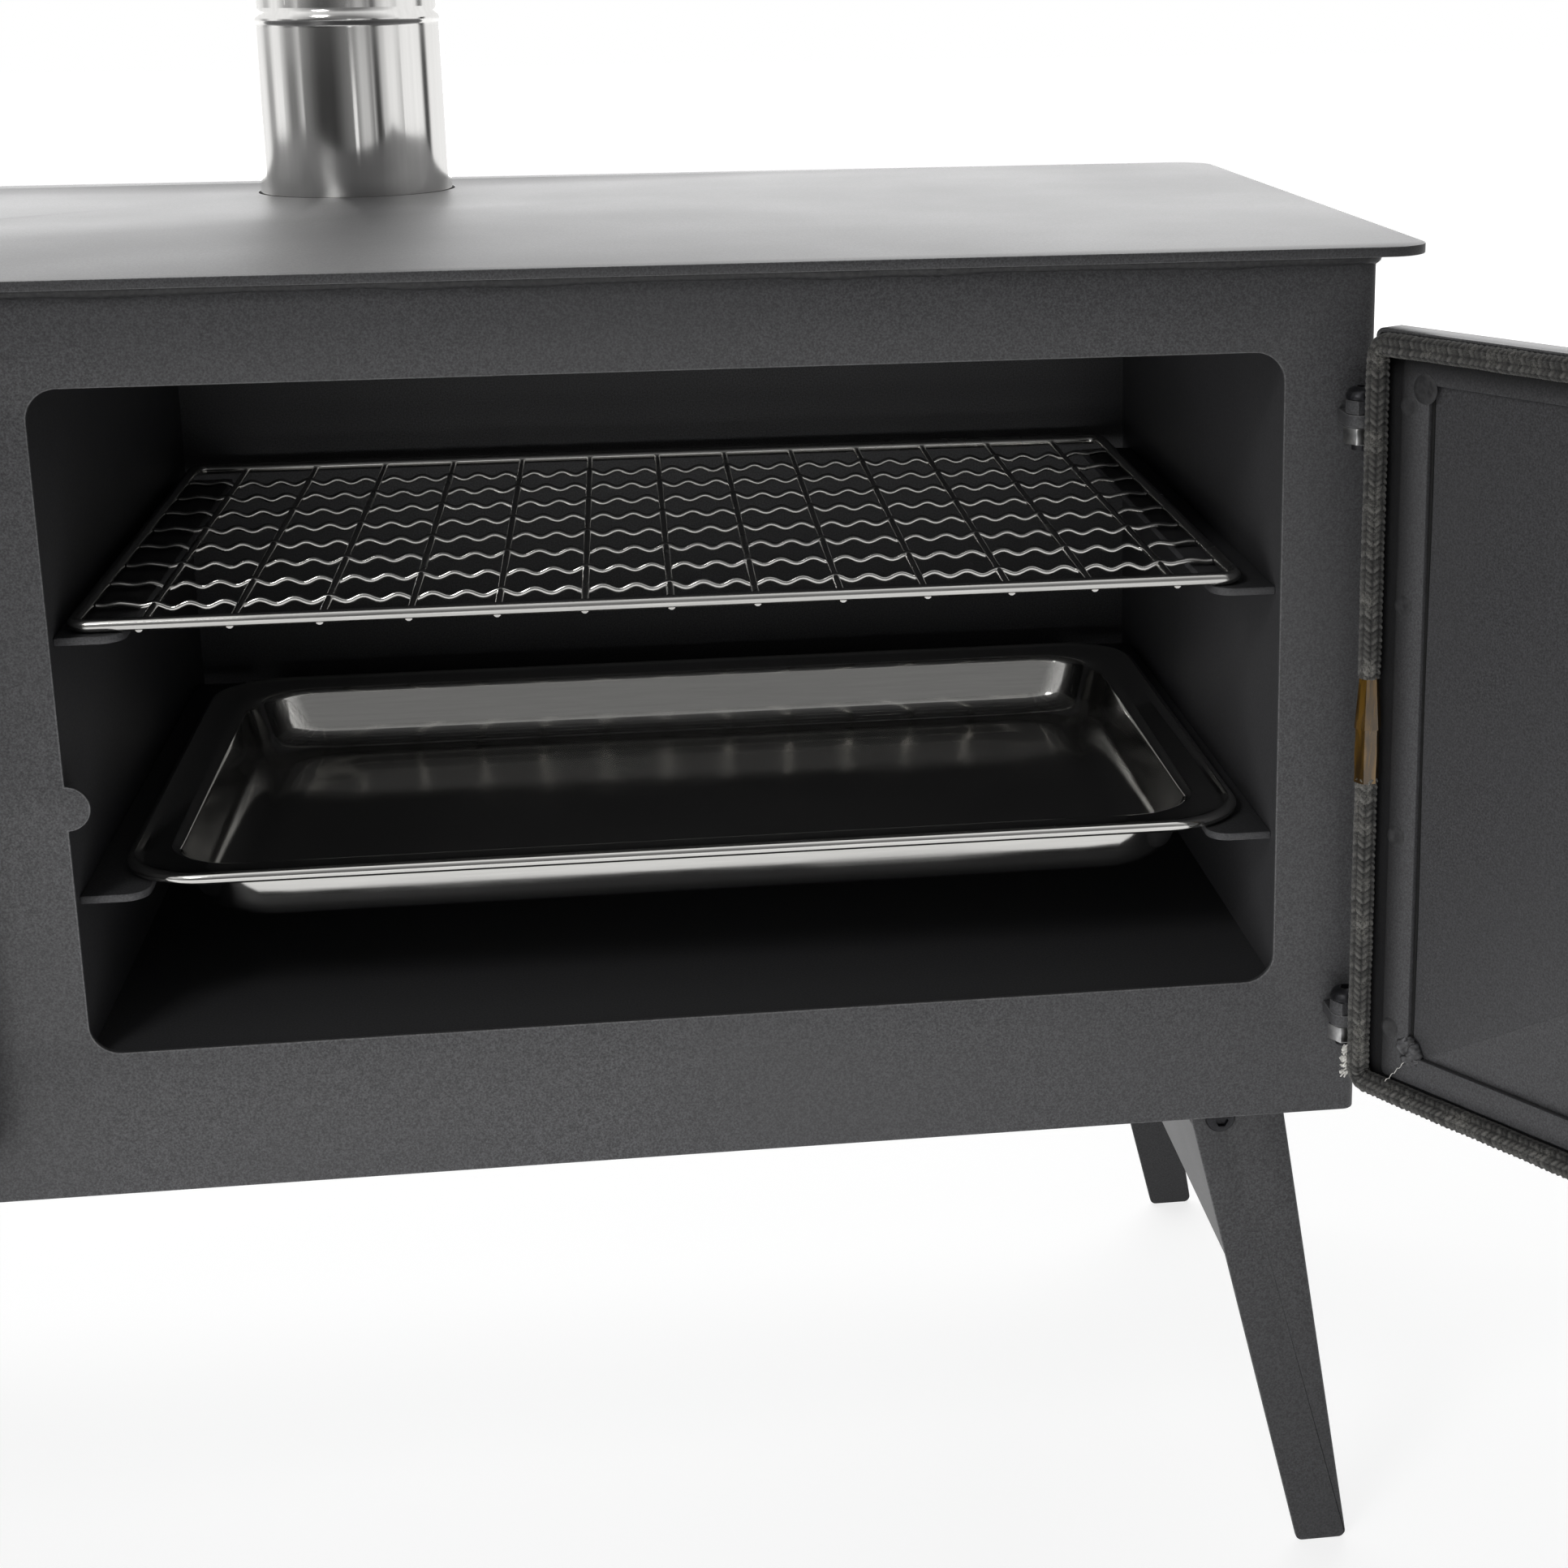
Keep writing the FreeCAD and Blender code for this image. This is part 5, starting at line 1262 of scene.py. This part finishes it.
    def spot(self, run: float, z: float, scale: float) -> Piece:
        """Press one round weld with a raised ring into the frame strip.

        Args:
            run: Distance from the hinge axis along the door.
            z: Height above the ground.
            scale: Size against a plain spot weld.

        Returns:
            The weld.
        """
        face = self.turn.to_3x3().to_4x4() @ Matrix.Rotation(math.radians(-90), 4, "X")
        profile = [(radius * scale * MM, height * MM) for radius, height in self.spot_ring]
        place = Matrix.Translation(self.at(run, self.strip_level, z))
        return lathe("spot", profile, place @ face, sides=24)

    def turn_grip(self) -> None:
        """Turn the wooden grip on the handle rod."""
        far_edge = self.near + self.width - self.overlap
        start = far_edge - self.latch - (self.handle_length - self.grip.length)
        toward_hinge = -self.hand.value
        lay = Matrix.Rotation(math.radians(90 * toward_hinge), 4, "Y")
        local = Matrix.Translation((self.hand.value * start, -self.handle_out, self.latch_height))
        wood = lathe(f"{self.name}_turned_grip", self.grip.profile(), self.turn @ local @ lay, sides=48)
        hand_over(wood, self.latch_body, BEECH, f"{self.name}_handle_grip")


@dataclass
class OvenDoor(Door):
    """The oven door, with the taped joint of its rope and a tuft of fibres that has come loose.

    Each weld lump has its shift along the door, its height above the ground and half of its extents; each
    wad of fibre its distance off the rope, its height above the door's lower edge and half of its extents,
    all in millimetres.
    """

    tape_height: float = 308.5 * MM
    tape_length: float = 17 * MM
    tape_margin: float = 1 * MM
    rope_touch: float = 0.01 * MM
    tape_facets: int = 6
    tape_over: float = 1.13
    tape_pinch: float = 0.1
    tape_waver: float = 0.02
    tape_taper: float = 0.36
    tape_steps: int = 24
    tape_smooth_angle: float = 16.0
    lumps: tuple[tuple[float, float, Triple], ...] = (
        (-1.8, 209.4, (2.7, 1.7, 3.1)), (2.4, 208.8, (2.6, 1.9, 3.0)), (0.2, 205.8, (3.2, 1.8, 2.2)),
        (0.6, 211.6, (2.0, 1.4, 1.7)), (3.2, 205.9, (1.6, 1.5, 1.5)))
    lump_sink: float = 0.6 * MM
    ring_inset: float = 1.5 * MM
    ring_height: float = 413.2 * MM
    ring_scale: float = 1.35
    slit_low: float = 211 * MM
    slit_length: float = 200 * MM
    slit_level: float = 1.1 * MM
    slit_radius: float = 0.5 * MM
    slit_off: float = 0.3 * MM
    slit_waver: float = 0.25 * MM
    slit_steps: int = 80
    fibres: int = 32
    fibre_seed: int = 11
    fibre_root: float = 2.9 * MM
    fibre_heights: tuple[float, float] = (5 * MM, 15 * MM)
    fibre_levels: tuple[float, float] = (0.5 * MM, 2.2 * MM)
    fibre_lengths: tuple[float, float] = (1.5 * MM, 3.2 * MM)
    fibre_radii: tuple[float, float] = (0.12 * MM, 0.34 * MM)
    thread_high: float = 205 * MM
    thread_low: float = 7 * MM
    thread_run: float = 12 * MM
    thread_lifts: tuple[float, float] = (1.2 * MM, 1.0 * MM)
    thread_radius: float = 0.13 * MM
    thread_sag: float = 0.4 * MM
    wads: tuple[tuple[float, float, Triple], ...] = (
        (0.5, 12.5, (1.0, 0.9, 1.6)), (0.9, 9.5, (1.2, 0.9, 1.4)), (1.1, 5.0, (0.8, 0.7, 1.2)),
        (0.0, 7.5, (0.7, 0.7, 1.9)))
    wad_lift: float = 1.4 * MM

    def build(self) -> None:
        """Build the door, then the tape, the corner welds, the painted shadow of the slit and the loose
        fibres.
        """
        self.rope_run = self.near + self.seal_inset
        self.strip_run = self.near + self.strip_edge + self.strip_width
        self.find_wrapped()
        super().build()
        self.wrap_tape()
        self.corner_welds()
        self.slit()
        self.fray()

    def find_wrapped(self) -> None:
        """Note which stretch of the rope lies under the tape."""
        edge = self.at(self.rope_run, self.seal_level, 0.0)
        half = self.tape_length - self.tape_margin
        low, high = self.tape_height - half, self.tape_height + half
        way, hidden, path = 0.0, [], self.seal_path()
        for before, after in zip(path, path[1:]):
            way += (after - before).length
            if low < after.z < high and (after.xy - edge.xy).length < self.rope_touch:
                hidden.append(way)
        self.wrapped = (hidden[0], hidden[-1])

    def creases(self, lower: bool, way: float, turn: float) -> tuple[float, float]:
        """Give the tape's relief: flat sides, drawn in a little below and narrowing upward above.

        Args:
            lower: Whether this is the lower sleeve.
            way: Distance along the sleeve.
            turn: Share of a turn round it.

        Returns:
            Change of radius, and an even crest.
        """
        share = way / self.tape_length
        side = (turn * self.tape_facets) % 1 - 0.5
        flat = math.cos(math.pi / self.tape_facets) / math.cos(side * math.tau / self.tape_facets)
        pinch = self.tape_pinch + self.tape_waver * math.sin(9 * share)
        narrow = pinch if lower else self.tape_taper * share
        return self.seal_radius * (flat * (self.tape_over - narrow) - 1), 0.5

    def wrap_tape(self) -> None:
        """Wrap the two rope ends in flat-sided film; the upper one narrows upward."""
        rise = self.tape_length / self.tape_steps
        sleeves = []
        for lower in (False, True):
            start = self.tape_height - (self.tape_length if lower else 0.0)
            path = [self.at(self.rope_run, self.seal_level, start + rise * step)
                    for step in range(self.tape_steps + 1)]
            sleeves.append(sweep("sleeve", path, self.inward, self.seal_radius, sides=42, closed=False,
                                 relief=partial(self.creases, lower)))
        tape = join("oven_door_tape_wrap", sleeves)
        shade(self.tape_smooth_angle)
        hand_over(tape, self.body, TAPE, "oven_door_seal_tape")

    def corner_welds(self) -> None:
        """Set weld metal at the strip's lower corner on the hinge side, and a ring at its upper one."""
        beads = []
        for seed, (shift, z, size) in enumerate(self.lumps):
            run = self.hand.value * (self.strip_run + shift * MM)
            place = self.turn @ Matrix.Translation((run, self.strip_level - self.lump_sink, z * MM))
            beads.append(lump("weld_lump", place, Vector(size) * MM, seed * 1.7))
        hand_over(join("oven_door_corner_welds", beads), self.body, HIGHLIT_WELD)
        ring = self.spot(self.strip_run - self.ring_inset, self.ring_height, self.ring_scale)
        ring.name = "oven_door_ring_weld"
        hand_over(ring, self.body, SHADED_WELD)

    def slit(self) -> None:
        """Draw a black line along the inner edge of the strip as painted shadow in the slit, where the strip
        stands a little off the liner.
        """
        path = []
        for step in range(self.slit_steps + 1):
            run = self.strip_run + self.slit_off + self.slit_waver * math.sin(step / 9.0)
            z = self.slit_low + self.slit_length * step / self.slit_steps
            path.append(self.at(run, self.slit_level, z))
        line = sweep("oven_door_strip_slit", path, self.inward, self.slit_radius, sides=8, closed=False)
        hand_over(line, self.body, SLIT_SHADOW)

    def fray(self) -> None:
        """Let a tuft of fibres stand off the rope below the lower hinge, and one thread cross the corner."""
        chance = random.Random(self.fibre_seed)
        tuft = [self.fibre(chance) for _ in range(self.fibres)]
        tuft.append(self.thread())
        for seed, (aside, z, size) in enumerate(self.wads):
            spot = self.at(self.rope_run - self.seal_radius - aside * MM, self.seal_level + self.wad_lift,
                           self.bottom + z * MM)
            turned = Matrix.Translation(spot) @ Matrix.Rotation(0.5 * seed, 4, "Y")
            tuft.append(lump("wad", turned, Vector(size) * MM, 2.3 * seed))
        hand_over(join("oven_door_loose_fibres", tuft), self.body, FRAYED)

    def fibre(self, chance: random.Random) -> Piece:
        """Let one short fibre stand off the rope.

        Args:
            chance: Where its place, length and lean come from.

        Returns:
            The fibre.
        """
        z = self.bottom + chance.uniform(*self.fibre_heights)
        level = self.seal_level + chance.uniform(*self.fibre_levels)
        start = self.at(self.rope_run - self.fibre_root, level, z)
        length = chance.uniform(*self.fibre_lengths)
        lean = -self.along * chance.uniform(0.15, 0.6) + self.inward * chance.uniform(-0.1, 0.35)
        lean += UP * chance.uniform(-0.9, 0.6)
        curl = self.inward * chance.uniform(-0.3, 0.3) - UP * 0.35
        path = [start + lean * length * s / 7 + curl * length * (s / 7) ** 2 for s in range(8)]
        flat = lean.cross(curl).normalized()
        return sweep("fibre", path, flat, chance.uniform(*self.fibre_radii), sides=5, closed=False)

    def thread(self) -> Piece:
        """Lead one loose thread from the corner weld to the rope.

        Returns:
            The thread.
        """
        first_lift, last_lift = self.thread_lifts
        first = self.at(self.strip_run, self.strip_level + first_lift, self.thread_high)
        last = self.at(self.rope_run + self.thread_run, self.seal_level + last_lift,
                       self.bottom + self.thread_low)
        path = [first.lerp(last, s / 12) + UP * self.thread_sag * math.sin(1.9 * s) for s in range(13)]
        return sweep("thread", path, self.inward, self.thread_radius, sides=6, closed=False)


@dataclass
class FireDoor(Door):
    """The firebox door, with its window and its air shutter."""

    def build(self) -> None:
        """Build the door, then dress what only this one carries."""
        super().build()
        for part in ("air_shutter", "shutter_guides"):
            ease(f"{self.name}_{part}", PAINT, Edge.FINE, WORN_AND_HIGHLIT_PAINT)
        ease(f"{self.name}_window_glass", GLASS, Edge.FINE)
        paint_node(f"{self.name}_window_gasket", FIBRE)


@dataclass
class Underpinnings:
    """The folding leg frames and the fire grate."""

    legs: tuple[str, ...] = ("left_leg_frame", "right_leg_frame")

    def build(self) -> None:
        """Dress the legs and the grate."""
        for node in self.legs:
            ease(node, PAINT, Edge.SHEET, WORN_AND_HIGHLIT_PAINT)
        ease("fire_grate", IRON, Edge.PRESSED)


@dataclass(frozen=True)
class Lamp:
    """One soft area lamp, which reflections show only where in_polish says so."""

    name: str
    place: Triple
    size: float
    power: float
    aim: Triple = (0.1, 0.0, 0.3)
    spread: float = 180.0
    in_polish: bool = True

    def hang(self) -> None:
        """Add the lamp, hidden from the camera."""
        data = bpy.data.lights.new(f"lamp_{self.name}", "AREA")
        data.size = self.size
        data.energy = self.power
        data.spread = math.radians(self.spread)
        lamp = bpy.data.objects.new(data.name, data)
        lamp.location = self.place
        toward = Vector(self.aim) - Vector(self.place)
        lamp.rotation_euler = toward.to_track_quat("-Z", "Y").to_euler()
        lamp.visible_camera = False
        lamp.visible_glossy = self.in_polish
        bpy.context.scene.collection.objects.link(lamp)


@dataclass(frozen=True)
class Card:
    """One soft-edged card on the studio floor, well away from the stove, that shows only as a reflection.

    It stands on an arc round the flue, from start to end in degrees to the right of the camera.
    """

    start: float
    end: float
    middle_tone: float
    edge_tone: float
    reach: float = 2.4
    heights: tuple[float, float] = (0.02, 0.5)
    steps: int = 8

    def stand(self, camera: Triple) -> None:
        """Stand the card up.

        Args:
            camera: Place of the camera.
        """
        flue = Vector((*Flue.centre, 0.0))
        to_camera = math.atan2(camera[1] - flue.y, camera[0] - flue.x)

        def place(column: int, row: int) -> Vector:
            """Place the point at a step along the card, on its lower or its upper edge."""
            angle = to_camera + math.radians(self.start + (self.end - self.start) * column / self.steps)
            out = Vector((math.cos(angle), math.sin(angle), 0)) * self.reach
            return flue + out + UP * self.heights[row]

        card = sheet_of(f"studio_card_{self.start:.0f}", self.steps, 1, place)
        card.data.materials.append(self.make_glow(card.name))
        card.visible_camera = False
        card.visible_diffuse = False
        card.visible_shadow = False
        card.visible_transmission = False

    def make_glow(self, name: str) -> bpy.types.Material:
        """Let the card glow in one tone in its middle and another at its edges.

        Args:
            name: The material's name.

        Returns:
            The material.
        """
        material = bpy.data.materials.new(name)
        tree = fresh_tree(material)
        place = add_node(tree, "TexCoord").outputs["UV"]
        across = add_node(tree, "SeparateXYZ", inputs={0: place}).outputs["X"]
        aside = add_node(tree, "Math", {"operation": "SUBTRACT"}, {0: across, 1: 0.5}).outputs[0]
        aside = add_node(tree, "Math", {"operation": "ABSOLUTE"}, {0: aside}).outputs[0]
        strength = add_node(tree, "MapRange", {"interpolation_type": "SMOOTHSTEP"}, {
            "Value": aside, "From Min": 0.1, "From Max": 0.5,
            "To Min": self.middle_tone, "To Max": self.edge_tone}).outputs[0]
        glow = add_node(tree, "Emission", inputs={"Strength": strength})
        add_node(tree, "OutputMaterial", inputs={"Surface": glow.outputs[0]})
        return material


@dataclass
class Studio:
    """A pale floor, a white surround, soft lamps and cards, and the photograph's camera."""

    image: int = 1932
    focal: float = 3246.4
    principal: tuple[float, float] = (1225.2, 799.6)
    place: Triple = (97.1 * MM, -913.1 * MM, 538.0 * MM)
    right: Triple = (0.99005395, -0.14042207, -0.00865008)
    down: Triple = (-0.044588, -0.25486739, -0.96594747)
    forward: Triple = (0.13343572, 0.9567258, -0.25859361)
    lamps: tuple[Lamp, ...] = (
        Lamp("key", (-1.6, -1.1, 0.55), size=1.0, power=5.0, in_polish=False),
        Lamp("front", (-0.48, -0.89, 1.08), size=0.28, power=3.4, aim=(0.05, -0.13, 0.31)),
        Lamp("bounce", (0.05, -0.4, 0.01), size=0.6, power=2.5, aim=(0.1, -0.15, 0.1), spread=120.0,
             in_polish=False),
        Lamp("back", (-0.4, 2.3, 1.5), size=4.6, power=140.0))
    cards: tuple[Card, ...] = (
        Card(-118, -98, 0.4, 0.95), Card(-86, -57, 0.2, 0.7), Card(-58, 2, 0.04, 0.2),
        Card(6, 26, 0.6, 0.25), Card(26, 38, 0.06, 0.5), Card(38, 64, 0.95, 0.6), Card(92, 109, 0.07, 1.0))
    room_tone: float = 0.2
    surround: float = 0.07
    floor_size: float = 24.0
    floor_matt: str = "#6a6a6a"
    floor_shade: str = "#9a9a9a"
    glow_near: float = 0.78
    glow_span: tuple[float, float] = (0.4, 1.3)

    def build(self) -> None:
        """Set up the whole stage."""
        bpy.context.scene.view_settings.view_transform = "Standard"
        self.lay_floor()
        self.light()
        for card in self.cards:
            card.stand(self.place)
        self.aim()

    def views(self, tree: Tree) -> tuple[Socket, Socket]:
        """Tell the rays that show a thing from those that only carry light.

        Args:
            tree: A node tree of the stage.

        Returns:
            1 for a ray straight from the camera or through glass, and 1 for those and for mirrored rays.
        """
        path = add_node(tree, "LightPath").outputs
        clear = add_node(tree, "Math", {"operation": "MAXIMUM"}, {
            0: path["Is Camera Ray"], 1: path["Is Transmission Ray"]}).outputs[0]
        seen = add_node(tree, "Math", {"operation": "MAXIMUM"}, {
            0: clear, 1: path["Is Glossy Ray"]}).outputs[0]
        return clear, seen

    def lay_floor(self) -> None:
        """Lay the pale floor."""
        deselect()
        bpy.ops.mesh.primitive_plane_add(size=self.floor_size)
        floor = bpy.context.object
        floor.name = "studio_floor"
        material = bpy.data.materials.new("studio_floor_pale")
        tree = fresh_tree(material)
        # The camera and the polished pieces see the floor as a white sweep that keeps a faint shadow
        _, seen = self.views(tree)
        matt = add_node(tree, "BsdfDiffuse", inputs={"Color": linear(self.floor_matt)})
        shadowed = add_node(tree, "BsdfDiffuse", inputs={"Color": linear(self.floor_shade)})
        middle = add_node(tree, "VectorMath", {"operation": "LENGTH"}, {
            0: add_node(tree, "TexCoord").outputs["Object"]}).outputs["Value"]
        near, far = self.glow_span
        strength = add_node(tree, "MapRange", {"interpolation_type": "SMOOTHSTEP"}, {
            "Value": middle, "From Min": near, "From Max": far, "To Min": self.glow_near}).outputs[0]
        glow = add_node(tree, "Emission", inputs={"Strength": strength})
        white = add_node(tree, "AddShader", inputs={0: shadowed.outputs[0], 1: glow.outputs[0]})
        mixed = add_node(tree, "MixShader", inputs={0: seen, 1: matt.outputs[0], 2: white.outputs[0]})
        add_node(tree, "OutputMaterial", inputs={"Surface": mixed.outputs[0]})
        floor.data.materials.append(material)

    def light(self) -> None:
        """Make the white surround and hang the lamps."""
        world = bpy.data.worlds.new("studio_surround")
        bpy.context.scene.world = world
        tree = fresh_tree(world)
        clear, seen = self.views(tree)
        # The room in front of the stove is unlit, and sheen and polish mirror that
        toward = add_node(tree, "TexCoord").outputs["Generated"]
        ahead = add_node(tree, "SeparateXYZ", inputs={0: toward}).outputs["Y"]
        room = add_node(tree, "MapRange", inputs={
            "Value": ahead, "From Min": -0.9, "From Max": -0.35, "To Min": self.room_tone}).outputs[0]
        tone = add_node(tree, "Math", {"operation": "MAXIMUM"}, {0: clear, 1: room}).outputs[0]
        lit = add_node(tree, "Background", inputs={"Color": (1, 1, 1, 1), "Strength": self.surround})
        shown = add_node(tree, "Background", inputs={"Color": (1, 1, 1, 1), "Strength": tone})
        mixed = add_node(tree, "MixShader", inputs={0: seen, 1: lit.outputs[0], 2: shown.outputs[0]})
        add_node(tree, "OutputWorld", inputs={"Surface": mixed.outputs[0]})
        for lamp in self.lamps:
            lamp.hang()

    def aim(self) -> None:
        """Put the camera where the photograph was taken from."""
        data = bpy.data.cameras.new("photo_camera")
        data.sensor_fit = "HORIZONTAL"
        data.sensor_width = 36.0
        data.lens = self.focal * data.sensor_width / self.image
        data.shift_x = (self.image / 2 - self.principal[0]) / self.image
        data.shift_y = (self.principal[1] - self.image / 2) / self.image
        data.clip_start, data.clip_end = 0.01, 100.0
        camera = bpy.data.objects.new("photo_camera", data)
        axes = Matrix((self.right, -Vector(self.down), -Vector(self.forward))).transposed()
        camera.matrix_world = Matrix.Translation(self.place) @ axes.to_4x4()
        bpy.context.scene.collection.objects.link(camera)
        bpy.context.scene.camera = camera


def main() -> None:
    """Build every sub-assembly in order."""
    logging.basicConfig(level=logging.INFO, format="%(name)s: %(message)s")
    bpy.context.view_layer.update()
    assemblies = (
        Studio(),
        StoveBody(),
        Flue(),
        WireRack(),
        BakingTray(),
        OvenDoor("oven_door", axis=(312.5 * MM, -163 * MM), angle=121.8, hand=Hand.TO_LEFT,
                 width=393.5 * MM),
        FireDoor("fire_door", axis=(-312.5 * MM, -163 * MM), angle=0.0, hand=Hand.TO_RIGHT,
                 width=206.5 * MM),
        Underpinnings(),
    )
    for assembly in assemblies:
        assembly.build()


if __name__ == "__main__":
    main()
